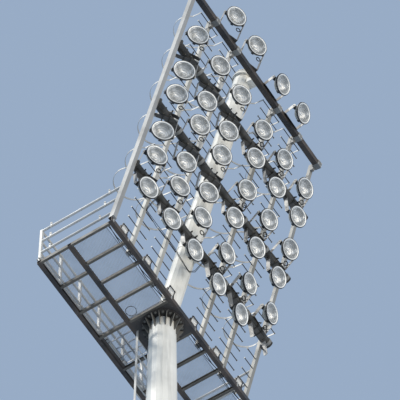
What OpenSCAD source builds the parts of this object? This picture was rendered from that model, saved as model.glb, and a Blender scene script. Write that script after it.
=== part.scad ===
/* [Mast] */
// Height of the mast's top flange above the ground
deck_z = 31800; // [24000:100:40000]
// Width across flats of the shaft at its top
shaft_top_w = 460; // [360:5:700]
// Growth of the shaft's width for each millimetre downwards
shaft_taper = 0.02; // [0.01:0.001:0.03]
// Wall of the shaft, shown as the step at each slip joint
shaft_wall = 8; // [5:0.5:14]

/* [Base flange] */
// Width of the base flange beyond the shaft
base_rim = 230; // [180:5:320]
// Thickness of the base flange
base_t = 50; // [30:1:80]
// Diameter of the anchor holes
anchor_hole_d = 46; // [30:1:60]
// Height of the base gussets
base_gusset_h = 420; // [300:10:700]
// Thickness of the base gussets
base_gusset_t = 20; // [12:1:30]

/* [Service cover] */
// Width of the service cover near the ground
cover_w = 170; // [120:5:190]
// Height of the service cover
cover_h = 620; // [400:10:900]
// Height of the cover's lower edge above the ground
cover_z = 700; // [600:10:1200]

/* [Top flange] */
// Diameter of the round top flange
top_flange_d = 740; // [700:5:760]
// Thickness of the top flange
top_flange_t = 30; // [20:1:45]
// Height of the gussets under the top flange
top_gusset_h = 270; // [180:5:400]
// Thickness of the gussets under the top flange
top_gusset_t = 12; // [8:1:20]
// Width across flats of the flange bolt heads
bolt_w = 41; // [30:1:50]

/* [Mast ladder] */
// Width of the mast ladder between its stiles
ladder_w = 360; // [300:5:450]
// Distance from the shaft's back flat to the ladder's stiles
ladder_gap = 150; // [120:5:250]
// Vertical distance between rungs
ladder_pitch = 280; // [230:5:320]
// Height of the first rung above the ground
ladder_start = 2400; // [800:50:3000]
// Diameter of the rungs
rung_d = 22; // [16:1:30]

/* [Platform] */
// Length of the platform's middle bay along the beams
pole_bay = 756; // [740:2:860]
// Number of further bays of the front row on each side
front_bays = 4; // [3:1:5]
// Number of further bays of the rear row on each side
rear_bays = 3; // [2:1:4]
// Distance from the mast's centre to the front beam
front_y = 385; // [380:1:480]
// Distance from the mast's centre to the inner beam
inner_y = 460; // [440:1:520]
// Distance from the mast's centre to the outer beam
outer_y = 1083; // [1000:1:1300]
// Width of the beams' flanges
beam_w = 75; // [60:1:90]
// Depth of the front beam
front_beam_d = 140; // [120:2:180]
// Depth of the other beams
beam_d = 80; // [70:1:110]
// Thickness of the beams' webs and flanges
beam_t = 7; // [5:0.5:10]
// Width of the cross beams
cross_w = 45; // [40:1:60]
// Thickness of the grating
deck_t = 10; // [6:1:40]
// Distance between the bearing bars of the grating
deck_pitch = 60; // [40:1:100]
// Distance from the grating's edge to the front beam, where the cables lie
cable_gap = 100; // [80:1:140]

/* [Hatch] */
// Depth of the trapdoor, from its free edge to its hinge side
hatch_depth = 455; // [400:5:480]
// Clear gap round the trapdoor
hatch_gap = 8; // [6:1:12]
// Radius of the hinge pins
hinge_pin_r = 8; // [6:0.5:10]
// Distance from the mast's centre plane to each hinge
hinge_x = 220; // [180:5:260]

/* [Guard rail] */
// Height of the top rail's centre above the underside of the beams
rail_h = 1110; // [1000:5:1300]
// Height of the middle rail's centre
mid_rail_h = 758; // [650:5:850]
// Height of the low rail's centre
low_rail_h = 367; // [320:5:450]
// Width of the square rail posts
rail_post_w = 46; // [30:1:60]
// Diameter of the rails
rail_d = 46; // [30:1:50]
// Height of the toe board
toe_h = 100; // [80:5:150]

/* [Lamp frame] */
// Forward lean of the lamp frame, in degrees
lean = 13.5; // [8:0.1:18]
// Distance between the climbing posts, and from them to the edge posts
bay = 730; // [680:5:900]
// Width of the square edge posts
edge_w = 90; // [70:1:110]
// Outer diameter of the lamp tubes
tube_d = 165; // [140:1:190]
// Height of the lowest tube up the slope of the frame
tube_u0 = 1800; // [1500:10:2000]
// Distance between the tubes
tube_pitch = 1910; // [1700:5:2200]
// Height of the top beam up the slope of the frame
top_u = 7320; // [7200:5:8800]
// Width of the square top beam
top_beam_w = 110; // [90:1:140]
// Width across flats of the head pole at its foot
head_pole_w = 378; // [300:2:400]
// Width across flats of the head pole at its top
head_pole_top_w = 340; // [280:2:378]
// Height of the head pole's slip joint up the slope
pole_seam_u = 2000; // [1000:10:2400]
// Length of the head pole above the top beam
pole_rise = 330; // [200:10:500]

/* [Climbing posts] */
// Width of the square climbing posts
climb_w = 72; // [60:1:90]
// Distance from the frame's plane back to the posts' axis
climb_n = 155; // [145:1:190]
// Half the length of a climbing rung
climb_rung_half = 285; // [200:1:300]
// Distance between the climbing rungs
climb_pitch = 270; // [220:5:300]
// Diameter of the climbing rungs
climb_rung_d = 18; // [14:1:24]
// Radius of the safety hoops' round backs
hoop_r = 355; // [310:1:360]
// Length of the hoops' straight ends behind the rungs
hoop_leg = 190; // [120:5:250]
// How much longer the lowest, flared hoops are
hoop_flare = 120; // [0:5:150]
// Number of rungs from one safety hoop to the next
rungs_per_hoop = 4; // [3:1:6]

/* [Lamps] */
// Radius of a lamp at its front rim
lamp_r = 214; // [180:1:220]
// Depth of a lamp's bowl behind the rim
lamp_depth = 150; // [110:5:200]
// Distance from a lamp's pivot forward to its rim
lamp_reach = 105; // [60:5:140]
// Width of the yoke's strap
strap_w = 80; // [40:1:90]
// Thickness of the yoke's strap
strap_t = 7; // [5:0.5:10]
// Downward tilt added to every lamp, in degrees
lamp_tilt = 0; // [-6:1:6]
// Radius of the loop of lead tied to each yoke
lead_loop_r = 45; // [35:1:55]
// Width of a small rectangular lamp
flood_w = 175; // [140:5:220]
// Height of a small rectangular lamp
flood_h = 145; // [120:5:180]

/* [Hidden] */

steel = "gainsboro";
dark_steel = "dimgray";
seat = 0.3;
weld = 2;
sides = 16;
shaft_sections = 3;
half_step = 180 / sides;
far = 4000;

shaft_top_z = deck_z - top_flange_t;
section_h = (shaft_top_z - base_t) / shaft_sections;

frame_half = 3 * bay;
platform_half = frame_half - 8;
front_bay = (platform_half - pole_bay / 2) / front_bays;
rear_bay = (platform_half - pole_bay / 2) / rear_bays;
beam_half = platform_half + 57;
side_beam_half = platform_half + cross_w / 2;
front_xs = [for (side = [-1, 1], k = [0:front_bays]) side * (pole_bay / 2 + k * front_bay)];
rear_xs = [for (side = [-1, 1], k = [0:rear_bays]) side * (pole_bay / 2 + k * rear_bay)];
post_xs = [for (k = [-rear_bays:rear_bays + 1])
    k <= 0 ? -pole_bay / 2 + k * rear_bay : pole_bay / 2 + (k - 1) * rear_bay];
deck_top = deck_z + beam_d + deck_t;
plate_t = 25;

hatch_x = pole_bay / 2 - cross_w / 2 - hatch_gap;
hatch_y0 = inner_y + beam_w / 2 + hatch_gap;
hatch_y1 = hatch_y0 + hatch_depth;
hatch_z = deck_z + beam_d + hatch_gap;
hatch_t = 30;
hinge_y = hatch_y1 + 22;
hinge_z = hatch_z + hatch_t / 2;
barrel_r = hinge_pin_r + 6;
barrel_l = 60;

foot_y = -front_y + 15;
pole_n = -foot_y * cos(lean);
plate_z = deck_z + front_beam_d;
foot_t = 12;
tube_us = [tube_u0, tube_u0 + tube_pitch, tube_u0 + 2 * tube_pitch];
climb_top_u = top_u + 80;
climb_xs = [-2 * bay, -bay, bay, 2 * bay];
tube_x1 = frame_half + 50;
first_rung_u = 330;
step_count = 5;

// Pan of each lamp to the frame's right, in degrees, column by column
top_pan = [0, -22, -18, 6, 8, 0];
upper_high_pan = [-36, -22, -20, -14, -6, -2];
upper_low_pan = [-38, -22, -22, -16, -12, -6];
middle_high_pan = [-36, -22, -20, -14, -8, -4];
middle_low_pan = [-40, -22, -20, -12, -6, 0];
lower_high_pan = [-26, -20, -12, -2, 4, 8];
lower_low_pan = [-16, -11, -4, 3, 6, 0];
all_columns = [0:5];

// A row of lamps: 1 if it stands above its tube and -1 if it hangs below, the distances from
// the tube's axis to the pivots and the yokes' forward leans in the left and the right half,
// the lamps' downward tilt against the frame's plane, and their pans
top_row = [1, [592, 292], [5, 56], 14, top_pan];
upper_high = [1, [592, 397], [7, 20], 15, upper_high_pan];
upper_low = [-1, [570, 579], [4, 16], 14, upper_low_pan];
middle_high = [1, [563, 379], [7, 32], 16, middle_high_pan];
middle_low = [-1, [596, 488], [4, 12], 12, middle_low_pan];
lower_high = [1, [540, 369], [9, 28], 6, lower_high_pan];
lower_low = [-1, [464, 600], [17, 18], 8, lower_low_pan];

// Half the shaft's width across flats at height z, for the section numbered k from the ground
function shaft_half(z, k) = shaft_top_w / 2 + shaft_taper / 2 * (shaft_top_z - z)
    - (shaft_sections - 1 - k) * shaft_wall;
function column_x(i) = (i - 2.5) * bay;
function head_y(n, u) = foot_y - u * sin(lean) + n * cos(lean);
function head_z(n, u) = deck_z + u * cos(lean) + n * sin(lean);
function pole_half(u) = head_pole_w / 2 - (head_pole_w - head_pole_top_w) / 2 * u / top_u;

// Puts its children on the leaning frame: X across, Y back from its plane, Z up its slope
module on_frame() {
    translate([0, foot_y, deck_z]) rotate([lean, 0, 0]) children();
}

module box(x0, x1, y0, y1, z0, z1) {
    translate([x0, y0, z0]) cube([x1 - x0, y1 - y0, z1 - z0]);
}

// A sixteen-sided tapering shaft, its widths given across flats, with a flat facing +Y
module faceted_shaft(half0, half1, h) {
    rotate([0, 0, half_step])
        linear_extrude(height = h, scale = half1 / half0)
            circle(r = half0 / cos(half_step), $fn = sides);
}

// Cuts its children off below the horizontal plane at height z
module above(z) {
    difference() {
        children();
        translate([-far, -far, z - far]) cube([2 * far, 2 * far, far]);
    }
}

module shaft_section(k) {
    z0 = base_t + k * section_h;
    translate([0, 0, z0])
        faceted_shaft(shaft_half(z0, k), shaft_half(z0 + section_h, k), section_h - seat);
}

module gusset(r0, r1, h, t, lip) {
    translate([0, t / 2, 0]) rotate([90, 0, 0]) linear_extrude(t)
        polygon([[r0, 0], [r1, 0], [r1, lip], [r0 + lip, h], [r0, h]]);
}

base_r = shaft_half(base_t, 0) + base_rim;
anchor_r = base_r - 75;

module base_flange() {
    color(steel) {
        difference() {
            cylinder(r = base_r, h = base_t, $fn = 96);
            for (k = [0:sides - 1]) rotate([0, 0, (k + 0.5) * 360 / sides])
                translate([anchor_r, 0, -1]) cylinder(d = anchor_hole_d, h = base_t + 2, $fn = 32);
        }
        foot = shaft_half(base_t, 0) + seat;
        for (k = [0:sides - 1]) rotate([0, 0, k * 360 / sides]) translate([0, 0, base_t - weld])
            gusset(foot, base_r - 60, base_gusset_h, base_gusset_t, 40);
    }
}

module lower_shaft() { color(steel) shaft_section(0); }
module middle_shaft() { color(steel) shaft_section(1); }
module upper_shaft() { color(steel) shaft_section(2); }

tilt_of_flat = atan(shaft_taper / 2);

// Puts its children on a plane parallel to the shaft's back flat: Z runs up the flat from the
// ground, and Y is the distance from the flat of the lowest section
module on_back_flat() {
    translate([0, shaft_half(0, 0), 0]) rotate([tilt_of_flat, 0, 0]) children();
}

module service_cover() {
    color(steel) mirror([0, 1, 0]) on_back_flat() {
        box(-cover_w / 2, cover_w / 2, seat, 8, cover_z, cover_z + cover_h);
        for (x = [-1, 1], k = [0:3])
            translate([x * (cover_w / 2 - 16), 8, cover_z + 30 + k * (cover_h - 60) / 3])
                rotate([-90, 0, 0]) cylinder(d = 20, h = 9, $fn = 6);
    }
}

stile_w = 40;
stile_t = 12;
stile_y = ladder_gap + 2 * shaft_wall;
ladder_top = deck_z - 40;
ladder_split = ladder_start + ladder_pitch * floor((ladder_top - ladder_start) / 2 / ladder_pitch);

module ladder_run(z0, z1) {
    color(steel) on_back_flat() {
        for (x = [-1, 1])
            box(x * ladder_w / 2 - stile_t / 2, x * ladder_w / 2 + stile_t / 2,
                stile_y, stile_y + stile_w, z0 - ladder_pitch / 2, z1 - ladder_pitch / 2);
        for (z = [z0:ladder_pitch:z1 - ladder_pitch / 2 - rung_d])
            translate([-ladder_w / 2, stile_y + stile_w / 2, z]) rotate([0, 90, 0])
                cylinder(d = rung_d, h = ladder_w, $fn = 24);
    }
}
module lower_ladder() { ladder_run(ladder_start, ladder_split); }
module upper_ladder() { ladder_run(ladder_split, ladder_top + ladder_pitch / 2); }

bracket_pitch = 8 * ladder_pitch;
bracket_t = 10;
module ladder_brackets() {
    color(steel) on_back_flat()
        for (z = [ladder_start + ladder_pitch / 2:bracket_pitch:ladder_top - 600]) {
            k = floor((z - base_t) / section_h);
            reach = k * shaft_wall + seat;
            for (x = [-1, 1]) {
                inner = shaft_half(z, 2) * tan(half_step) - 12;
                outer = ladder_w / 2 - stile_t / 2 - 5 - seat;
                hull() {
                    box(x * inner - 5, x * inner + 5, reach, reach + bracket_t, z, z + 60);
                    box(x * outer - 5, x * outer + 5,
                        stile_y - 4, stile_y + stile_w, z, z + 60);
                }
            }
        }
}

flange_bolt_r = top_flange_d / 2 - 36;

module top_flange() {
    color(steel) {
        translate([0, 0, shaft_top_z]) cylinder(d = top_flange_d, h = top_flange_t, $fn = 96);
        foot = shaft_half(shaft_top_z - top_gusset_h, 2) + seat;
        for (k = [0:sides - 1]) rotate([0, 0, k * 360 / sides]) translate([0, 0, shaft_top_z + weld])
            mirror([0, 0, 1]) gusset(foot, top_flange_d / 2 - 6, top_gusset_h, top_gusset_t, 25);
    }
}

module flange_bolts() {
    color(dark_steel)
        for (k = [0:sides - 1]) rotate([0, 0, (k + 0.5) * 360 / sides])
            translate([flange_bolt_r, 0, shaft_top_z - seat]) mirror([0, 0, 1]) {
                cylinder(d = bolt_w + 14, h = 5, $fn = 24);
                cylinder(d = bolt_w / cos(30), h = 27, $fn = 6);
            }
}

module head_plate() {
    color(dark_steel)
        box(-pole_bay / 2 + cross_w / 2, pole_bay / 2 - cross_w / 2,
            -front_y + beam_w / 2, inner_y - beam_w / 2, deck_z, deck_z + plate_t);
}

module head_pole_run(u0, u1, extra) {
    on_frame() translate([0, pole_n, u0])
        faceted_shaft(pole_half(u0) + extra, pole_half(u1) + extra, u1 - u0);
}

stub_flange_t = 25;
module pole_stub() {
    color(steel) {
        above(deck_z + plate_t + stub_flange_t) head_pole_run(-200, pole_seam_u, 0);
        translate([0, 0, deck_z + plate_t])
            cylinder(r = head_pole_w / 2 + 85, h = stub_flange_t, $fn = 64);
    }
}
module head_pole() {
    color(steel) head_pole_run(pole_seam_u + seat, top_u + pole_rise, 6);
}
module pole_cap() {
    color(steel) on_frame() translate([0, pole_n, top_u + pole_rise + seat])
        cylinder(r = pole_half(top_u) + 18, h = 12, $fn = 48);
}

// A channel along X, its web at y = 0, its flanges reaching to y = w
module channel(x0, x1, w, d) {
    translate([x0, 0, 0]) rotate([90, 0, 90]) linear_extrude(x1 - x0)
        polygon([[0, 0], [w, 0], [w, beam_t], [beam_t, beam_t],
                 [beam_t, d - beam_t], [w, d - beam_t], [w, d], [0, d]]);
}

module front_beam() {
    color(dark_steel) translate([0, -front_y - beam_w / 2, deck_z])
        channel(-beam_half, beam_half, beam_w, front_beam_d);
}
module inner_beam() {
    color(dark_steel) translate([0, inner_y - beam_w / 2, deck_z])
        channel(-side_beam_half, side_beam_half, beam_w, beam_d);
}
module outer_beam() {
    color(dark_steel) translate([0, outer_y + beam_w / 2, deck_z])
        mirror([0, 1, 0]) channel(-side_beam_half, side_beam_half, beam_w, beam_d);
}

module cross_beam(x, y0, y1) {
    turn = x > 0 ? 1 : 0;
    translate([x, y0, deck_z]) mirror([turn, 0, 0]) translate([-cross_w / 2, 0, 0])
        rotate([90, 0, 180]) mirror([1, 0, 0]) linear_extrude(y1 - y0)
            polygon([[0, 0], [cross_w, 0], [cross_w, beam_t], [beam_t, beam_t],
                     [beam_t, beam_d - beam_t], [cross_w, beam_d - beam_t],
                     [cross_w, beam_d], [0, beam_d]]);
}
module front_cross_beams() {
    color(dark_steel) for (x = front_xs)
        cross_beam(x, -front_y + beam_w / 2, inner_y - beam_w / 2);
}
module rear_cross_beams() {
    color(dark_steel) for (x = rear_xs)
        cross_beam(x, inner_y + beam_w / 2, outer_y - beam_w / 2);
}

bar_t = 5;
module deck_panel(x0, x1, y0, y1) {
    z0 = deck_z + beam_d;
    count = round((x1 - x0) / deck_pitch);
    step = (x1 - x0 - bar_t) / count;
    for (k = [0:count])
        box(x0 + k * step, x0 + k * step + bar_t, y0, y1, z0, z0 + deck_t);
    for (y = [y0, (y0 + y1 - bar_t) / 2, y1 - bar_t])
        box(x0, x1, y, y + bar_t, z0, z0 + deck_t);
}
deck_lap = 8;
deck_x0 = pole_bay / 2 + cross_w / 2;
deck_x1 = platform_half - rail_post_w / 2 - 6;
module front_deck() {
    color("darkgray") for (side = [0, 1]) mirror([side, 0, 0])
        deck_panel(deck_x0, deck_x1, -front_y + beam_w / 2 + cable_gap, inner_y - 1);
}
module rear_deck() {
    color("darkgray") for (side = [0, 1]) mirror([side, 0, 0])
        deck_panel(deck_x0, deck_x1, inner_y + 1, outer_y - beam_w / 2 + deck_lap);
}

trimmer_w = 40;
trimmer_y = hinge_y + barrel_r + 6;
module hatch_trimmer() {
    color(dark_steel) {
        box(-pole_bay / 2 + cross_w / 2, pole_bay / 2 - cross_w / 2,
            trimmer_y, trimmer_y + trimmer_w, deck_z + beam_d - 60, deck_z + beam_d);
        for (x = [-1, 1]) translate([x * hinge_x, 0, 0]) {
            for (s = [-1, 1])
                translate([s * (barrel_l / 2 + 6) - 4, 0, 0])
                    difference() {
                        hull() {
                            translate([0, hinge_y, hinge_z]) rotate([0, 90, 0])
                                cylinder(r = barrel_r, h = 8, $fn = 32);
                            box(0, 8, trimmer_y + 2, trimmer_y + trimmer_w - 2,
                                deck_z + beam_d, deck_z + beam_d + 4);
                        }
                        translate([-1, hinge_y, hinge_z]) rotate([0, 90, 0])
                            cylinder(r = hinge_pin_r - 1, h = 10, $fn = 24);
                    }
            translate([-barrel_l / 2 - 10, hinge_y, hinge_z]) rotate([0, 90, 0])
                cylinder(r = hinge_pin_r, h = barrel_l + 20, $fn = 32);
        }
    }
}

grid_bar = 12;
module hatch_door() {
    color("darkgray") {
        for (k = [0:4])
            box(-hatch_x + k * (2 * hatch_x - grid_bar) / 4,
                -hatch_x + k * (2 * hatch_x - grid_bar) / 4 + grid_bar,
                hatch_y0, hatch_y1, hatch_z, hatch_z + hatch_t);
        for (k = [0:2])
            box(-hatch_x, hatch_x, hatch_y0 + k * (hatch_depth - grid_bar) / 2,
                hatch_y0 + k * (hatch_depth - grid_bar) / 2 + grid_bar, hatch_z, hatch_z + hatch_t);
        for (x = [-1, 1]) translate([x * hinge_x - barrel_l / 2, 0, 0]) difference() {
            union() {
                translate([0, hinge_y, hinge_z]) rotate([0, 90, 0])
                    cylinder(r = barrel_r, h = barrel_l, $fn = 32);
                box(0, barrel_l, hatch_y1 - 2, hinge_y, hinge_z - 5, hinge_z + 5);
            }
            translate([-1, hinge_y, hinge_z]) rotate([0, 90, 0])
                cylinder(r = hinge_pin_r + seat, h = barrel_l + 2, $fn = 32);
        }
    }
}

rail_heights = [rail_h, mid_rail_h, low_rail_h];
module rail_posts() {
    color(steel) for (x = post_xs)
        box(x - rail_post_w / 2, x + rail_post_w / 2, outer_y - rail_post_w / 2,
            outer_y + rail_post_w / 2, deck_z + beam_d, deck_z + rail_h + rail_d / 2 + 6);
}
module rear_rails() {
    color(steel) for (k = [0:len(post_xs) - 2], h = rail_heights)
        translate([post_xs[k] + rail_post_w / 2 + seat, outer_y, deck_z + h])
            rotate([0, 90, 0])
                cylinder(d = rail_d, h = post_xs[k + 1] - post_xs[k] - rail_post_w - 2 * seat,
                    $fn = 24);
}
// Where an end rail at height h meets the edge post on that side, and the corner post
function end_rail_y0(side, h) = foot_y - (h - rail_d / 2) * tan(lean)
    + (side < 0 ? edge_w / 2 : climb_n + climb_w / 2) / cos(lean) + seat;
end_rail_y1 = outer_y - rail_post_w / 2 - seat;
module end_rails() {
    color(steel) for (side = [-1, 1], h = rail_heights)
        translate([side * platform_half, end_rail_y0(side, h), deck_z + h]) rotate([-90, 0, 0])
            cylinder(d = rail_d, h = end_rail_y1 - end_rail_y0(side, h), $fn = 24);
}
// A clamp plate on the outer side of each end rail, near each of its ends
module rail_clamps() {
    color(steel) for (side = [-1, 1], h = rail_heights, y = [end_rail_y0(side, h) + 250, end_rail_y1 - 190]) {
        x = side * (platform_half + rail_d / 2 + seat + 4);
        box(x - 4, x + 4, y - 18, y + 18, deck_z + h - 75, deck_z + h + 75);
    }
}

toe_t = 5;
module toe_board() {
    color(steel) {
        y = outer_y - rail_post_w / 2 - toe_t;
        box(-platform_half + 25, platform_half - 25, y, y + toe_t,
            deck_top + 25, deck_top + 25 + toe_h);
    }
}

module left_edge_post() {
    x = -frame_half;
    color(steel) {
        above(plate_z + foot_t) on_frame()
            box(x - edge_w / 2, x + edge_w / 2, -edge_w / 2, edge_w / 2, 0,
                top_u + top_beam_w / 2);
        y = head_y(0, front_beam_d / cos(lean));
        box(x - edge_w / 2 - 5, x + edge_w / 2 + 5, y - edge_w / 2 - 12, y + edge_w / 2 + 12,
            plate_z, plate_z + foot_t);
    }
}

module top_beam() {
    color(dark_steel) on_frame()
        box(-frame_half + edge_w / 2, tube_x1, -top_beam_w / 2, top_beam_w / 2,
            top_u - top_beam_w / 2, top_u + top_beam_w / 2);
}

end_flange_t = 14;
module lamp_tube(u) {
    x0 = -frame_half + edge_w / 2;
    color(dark_steel) on_frame() translate([x0, 0, u]) rotate([0, 90, 0]) {
        cylinder(d = tube_d, h = tube_x1 - x0, $fn = 48);
        cylinder(d = tube_d + 60, h = end_flange_t, $fn = 48);
        translate([0, 0, tube_x1 - x0 - end_flange_t])
            cylinder(d = tube_d + 20, h = end_flange_t, $fn = 48);
    }
}
module lower_tube() { lamp_tube(tube_us[0]); }
module middle_tube() { lamp_tube(tube_us[1]); }
module upper_tube() { lamp_tube(tube_us[2]); }

saddle_h = 150;
saddle_w = 180;
module pole_saddles() {
    color(steel) on_frame() {
        for (u = tube_us) {
            extra = u > pole_seam_u ? 6 : 0;
            difference() {
                box(-saddle_w / 2, saddle_w / 2, 30,
                    pole_n - pole_half(u - saddle_h / 2) - extra - seat,
                    u - saddle_h / 2, u + saddle_h / 2);
                translate([-saddle_w, 0, u]) rotate([0, 90, 0])
                    cylinder(d = tube_d + 2 * seat, h = 2 * saddle_w, $fn = 48);
            }
        }
        box(-saddle_w / 2, saddle_w / 2, top_beam_w / 2,
            pole_n - pole_half(top_u - saddle_h / 2) - 6 - seat,
            top_u - top_beam_w / 2, top_u + top_beam_w / 2);
    }
}

// A square post behind the frame's plane, on its foot plate on the front beam
module back_post(x) {
    above(plate_z + foot_t) on_frame() translate([x, climb_n, 0])
        box(-climb_w / 2, climb_w / 2, -climb_w / 2, climb_w / 2, 0, climb_top_u);
    back = head_y(climb_n, (front_beam_d - climb_n * sin(lean)) / cos(lean)) + climb_w / 2;
    box(x - climb_w / 2 - 12, x + climb_w / 2 + 12, -front_y - beam_w / 2 + 4, back,
        plate_z, plate_z + foot_t);
}

// Rungs with capped ends from x0 to x1, one at each height in us
module rungs(x0, x1, us) {
    cap_t = 6;
    on_frame() for (u = us) translate([x0, climb_n, u]) rotate([0, 90, 0]) {
        cylinder(d = climb_rung_d, h = x1 - x0, $fn = 24);
        for (z = [0, x1 - x0 - cap_t])
            translate([0, 0, z]) cylinder(d = climb_rung_d + 16, h = cap_t, $fn = 24);
    }
}

module climbing_post(x) {
    color(steel) {
        back_post(x);
        rungs(x - climb_rung_half, x + climb_rung_half,
            [first_rung_u:climb_pitch:climb_top_u - 40]);
    }
}
module left_climbing_posts() { climbing_post(climb_xs[0]); climbing_post(climb_xs[1]); }
module right_climbing_posts() { climbing_post(climb_xs[2]); climbing_post(climb_xs[3]); }

module right_edge_post() {
    color(steel) {
        back_post(frame_half);
        rungs(frame_half - climb_rung_half, frame_half,
            [for (k = [0:step_count - 1]) first_rung_u + k * climb_pitch]);
        rungs(frame_half - climb_rung_half, frame_half + climb_rung_half, [rung_u(low_rung)]);
    }
}

hoop_w = 40;
hoop_t = 6;
top_rung = floor((climb_top_u - 40 - first_rung_u) / climb_pitch);
low_rung = 8;
hoop_reach = min(hoop_r, bay / 2 - 6);

function rung_u(k) = first_rung_u + k * climb_pitch;
function reversed(points) = [for (k = [len(points) - 1:-1:0]) points[k]];
function mirrored(points) = [for (p = points) [-p[0], p[1]]];

// Half of a hoop's outline, lying inset within its outer face: the leg behind the rung's end,
// then round the bulging back to the middle
hoop_steps = 10;
function hoop_half(leg, inset) = let (
        bulge = acos((climb_rung_half - inset) / (hoop_reach - inset)),
        centre = leg + (hoop_reach - inset) * sin(bulge))
    concat([[climb_rung_half - inset, climb_rung_d / 2 + 8 + seat]],
        [for (k = [0:hoop_steps]) let (a = -bulge + (90 + bulge) * k / hoop_steps)
            [(hoop_reach - inset) * cos(a), centre + (hoop_reach - inset) * sin(a)]]);

// A safety hoop behind the rung at height u
module hoop(x, u, leg) {
    outer = hoop_half(leg, 0);
    inner = hoop_half(leg, hoop_t);
    on_frame() translate([x, climb_n, u - hoop_w / 2]) linear_extrude(hoop_w)
        polygon(concat(outer, reversed([for (p = mirrored(outer)) if (p[0] < -0.01) p]),
            mirrored(inner), reversed([for (p = inner) if (p[0] > 0.01) p])));
}
module hoops_at(xs) {
    color(steel) for (x = xs) {
        for (k = [top_rung:-rungs_per_hoop:low_rung + 2]) hoop(x, rung_u(k), hoop_leg);
        hoop(x, rung_u(low_rung), hoop_leg + hoop_flare);
    }
}
module left_hoops() { hoops_at([climb_xs[0], climb_xs[1]]); }
module right_hoops() {
    hoops_at([climb_xs[2], climb_xs[3]]);
    color(steel) hoop(frame_half, rung_u(low_rung), hoop_leg + hoop_flare);
}

clamp_w = 60;
clamp_t = 12;
module post_clamps() {
    color(steel) on_frame() for (x = concat(climb_xs, [frame_half - 20])) {
        for (u = tube_us) translate([x, 0, u]) difference() {
            union() {
                translate([-clamp_w / 2, 0, 0]) rotate([0, 90, 0])
                    cylinder(d = tube_d + 2 * clamp_t, h = clamp_w, $fn = 48);
                box(-clamp_w / 2, clamp_w / 2, 0, climb_n - climb_w / 2 - seat, -50, 50);
            }
            translate([-clamp_w, 0, 0]) rotate([0, 90, 0])
                cylinder(d = tube_d + 2 * seat, h = 2 * clamp_w, $fn = 48);
        }
        w = top_beam_w / 2;
        translate([x, 0, top_u]) difference() {
            union() {
                box(-clamp_w, clamp_w, -w - clamp_t, w + clamp_t, -w - clamp_t, w + clamp_t);
                box(-clamp_w / 2, clamp_w / 2, w, climb_n - climb_w / 2 - seat, -w - 90, w);
            }
            box(-2 * clamp_w, 2 * clamp_w, -w - seat, w + seat, -w - seat, w + seat);
        }
    }
}

pivot_x = lamp_r + 14;
trunnion_x = lamp_r - 90;

// A row's value for the half in which a column stands
function for_half(pair, column) = column < 3 ? pair[0] : pair[1];
// Distance from a square beam's axis to a plane that leans and touches its corner
function corner_reach(w, a) = w / 2 * (sin(a) + cos(a));

// Puts its children at a lamp's place: the origin is on the tube's axis, Z runs to the pivot
module at_lamp(column, u, row) {
    way = row[0];
    on_frame() translate([column_x(column), 0, u])
        rotate([(way > 0 ? 0 : 180) + way * for_half(row[2], column), 0, 0])
            rotate([0, 0, way * row[4][column]]) children();
}

module yoke(r_seat, h) {
    translate([0, 0, r_seat + seat]) {
        box(-pivot_x, pivot_x, -strap_w / 2, strap_w / 2, 0, strap_t);
        for (s = [-1, 1]) {
            x = s * (pivot_x - strap_t / 2);
            box(x - strap_t / 2, x + strap_t / 2, -strap_w / 2, strap_w / 2, 0,
                h - r_seat - seat);
            translate([x - strap_t / 2, 0, h - r_seat - seat]) rotate([0, 90, 0])
                cylinder(d = strap_w, h = strap_t, $fn = 32);
        }
    }
}

// The lamp's body about its pivot, looking along +Z
module lamp_body() {
    rotate_extrude($fn = 64) polygon([
        [0, lamp_reach - 14], [lamp_r - 22, lamp_reach - 14], [lamp_r - 20, lamp_reach + 4],
        [lamp_r - 4, lamp_reach + 4], [lamp_r, lamp_reach - 4], [lamp_r, lamp_reach - 28],
        [lamp_r - 14, lamp_reach - 32], [lamp_r - 30, lamp_reach - 70],
        [lamp_r - 66, lamp_reach - 112], [86, lamp_reach - lamp_depth],
        [60, lamp_reach - lamp_depth - 18], [36, lamp_reach - lamp_depth - 22],
        [36, lamp_reach - lamp_depth - 46], [0, lamp_reach - lamp_depth - 50]]);
    for (s = [-1, 1]) translate([s * trunnion_x, 0, 0]) rotate([0, 90 * s, 0])
        cylinder(d = 44, h = pivot_x - strap_t - trunnion_x - seat, $fn = 24);
}

module yokes(u, row, r_seat, columns = all_columns) {
    color(steel) for (i = columns) at_lamp(i, u, row)
        yoke(r_seat > 0 ? r_seat : corner_reach(top_beam_w, for_half(row[2], i)),
            for_half(row[1], i));
}
module lamps(u, row, columns = all_columns) {
    color("silver") for (i = columns) {
        tilt = row[3] + lamp_tilt - row[0] * for_half(row[2], i);
        at_lamp(i, u, row) translate([0, 0, for_half(row[1], i)])
            rotate([row[0] * 90 + tilt, 0, 0]) lamp_body();
    }
}

// The loop of each lamp's lead, tied to the yoke's arm
lead_d = 12;
module leads(u, row, columns = all_columns) {
    color("black") for (i = columns) at_lamp(i, u, row)
        translate([pivot_x - strap_t - seat - lead_loop_r - lead_d / 2, row[0] * strap_w / 3,
                   for_half(row[1], i) - 175]) rotate([90, 0, 0])
            rotate_extrude($fn = 48) translate([lead_loop_r, 0]) circle(d = lead_d, $fn = 16);
}
module lamp_leads() {
    leads(top_u, top_row, [1, 2]);
    leads(tube_us[2], upper_high);
    leads(tube_us[2], upper_low);
    leads(tube_us[1], middle_high);
    leads(tube_us[1], middle_low);
    leads(tube_us[0], lower_high);
    leads(tube_us[0], lower_low);
}

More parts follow.
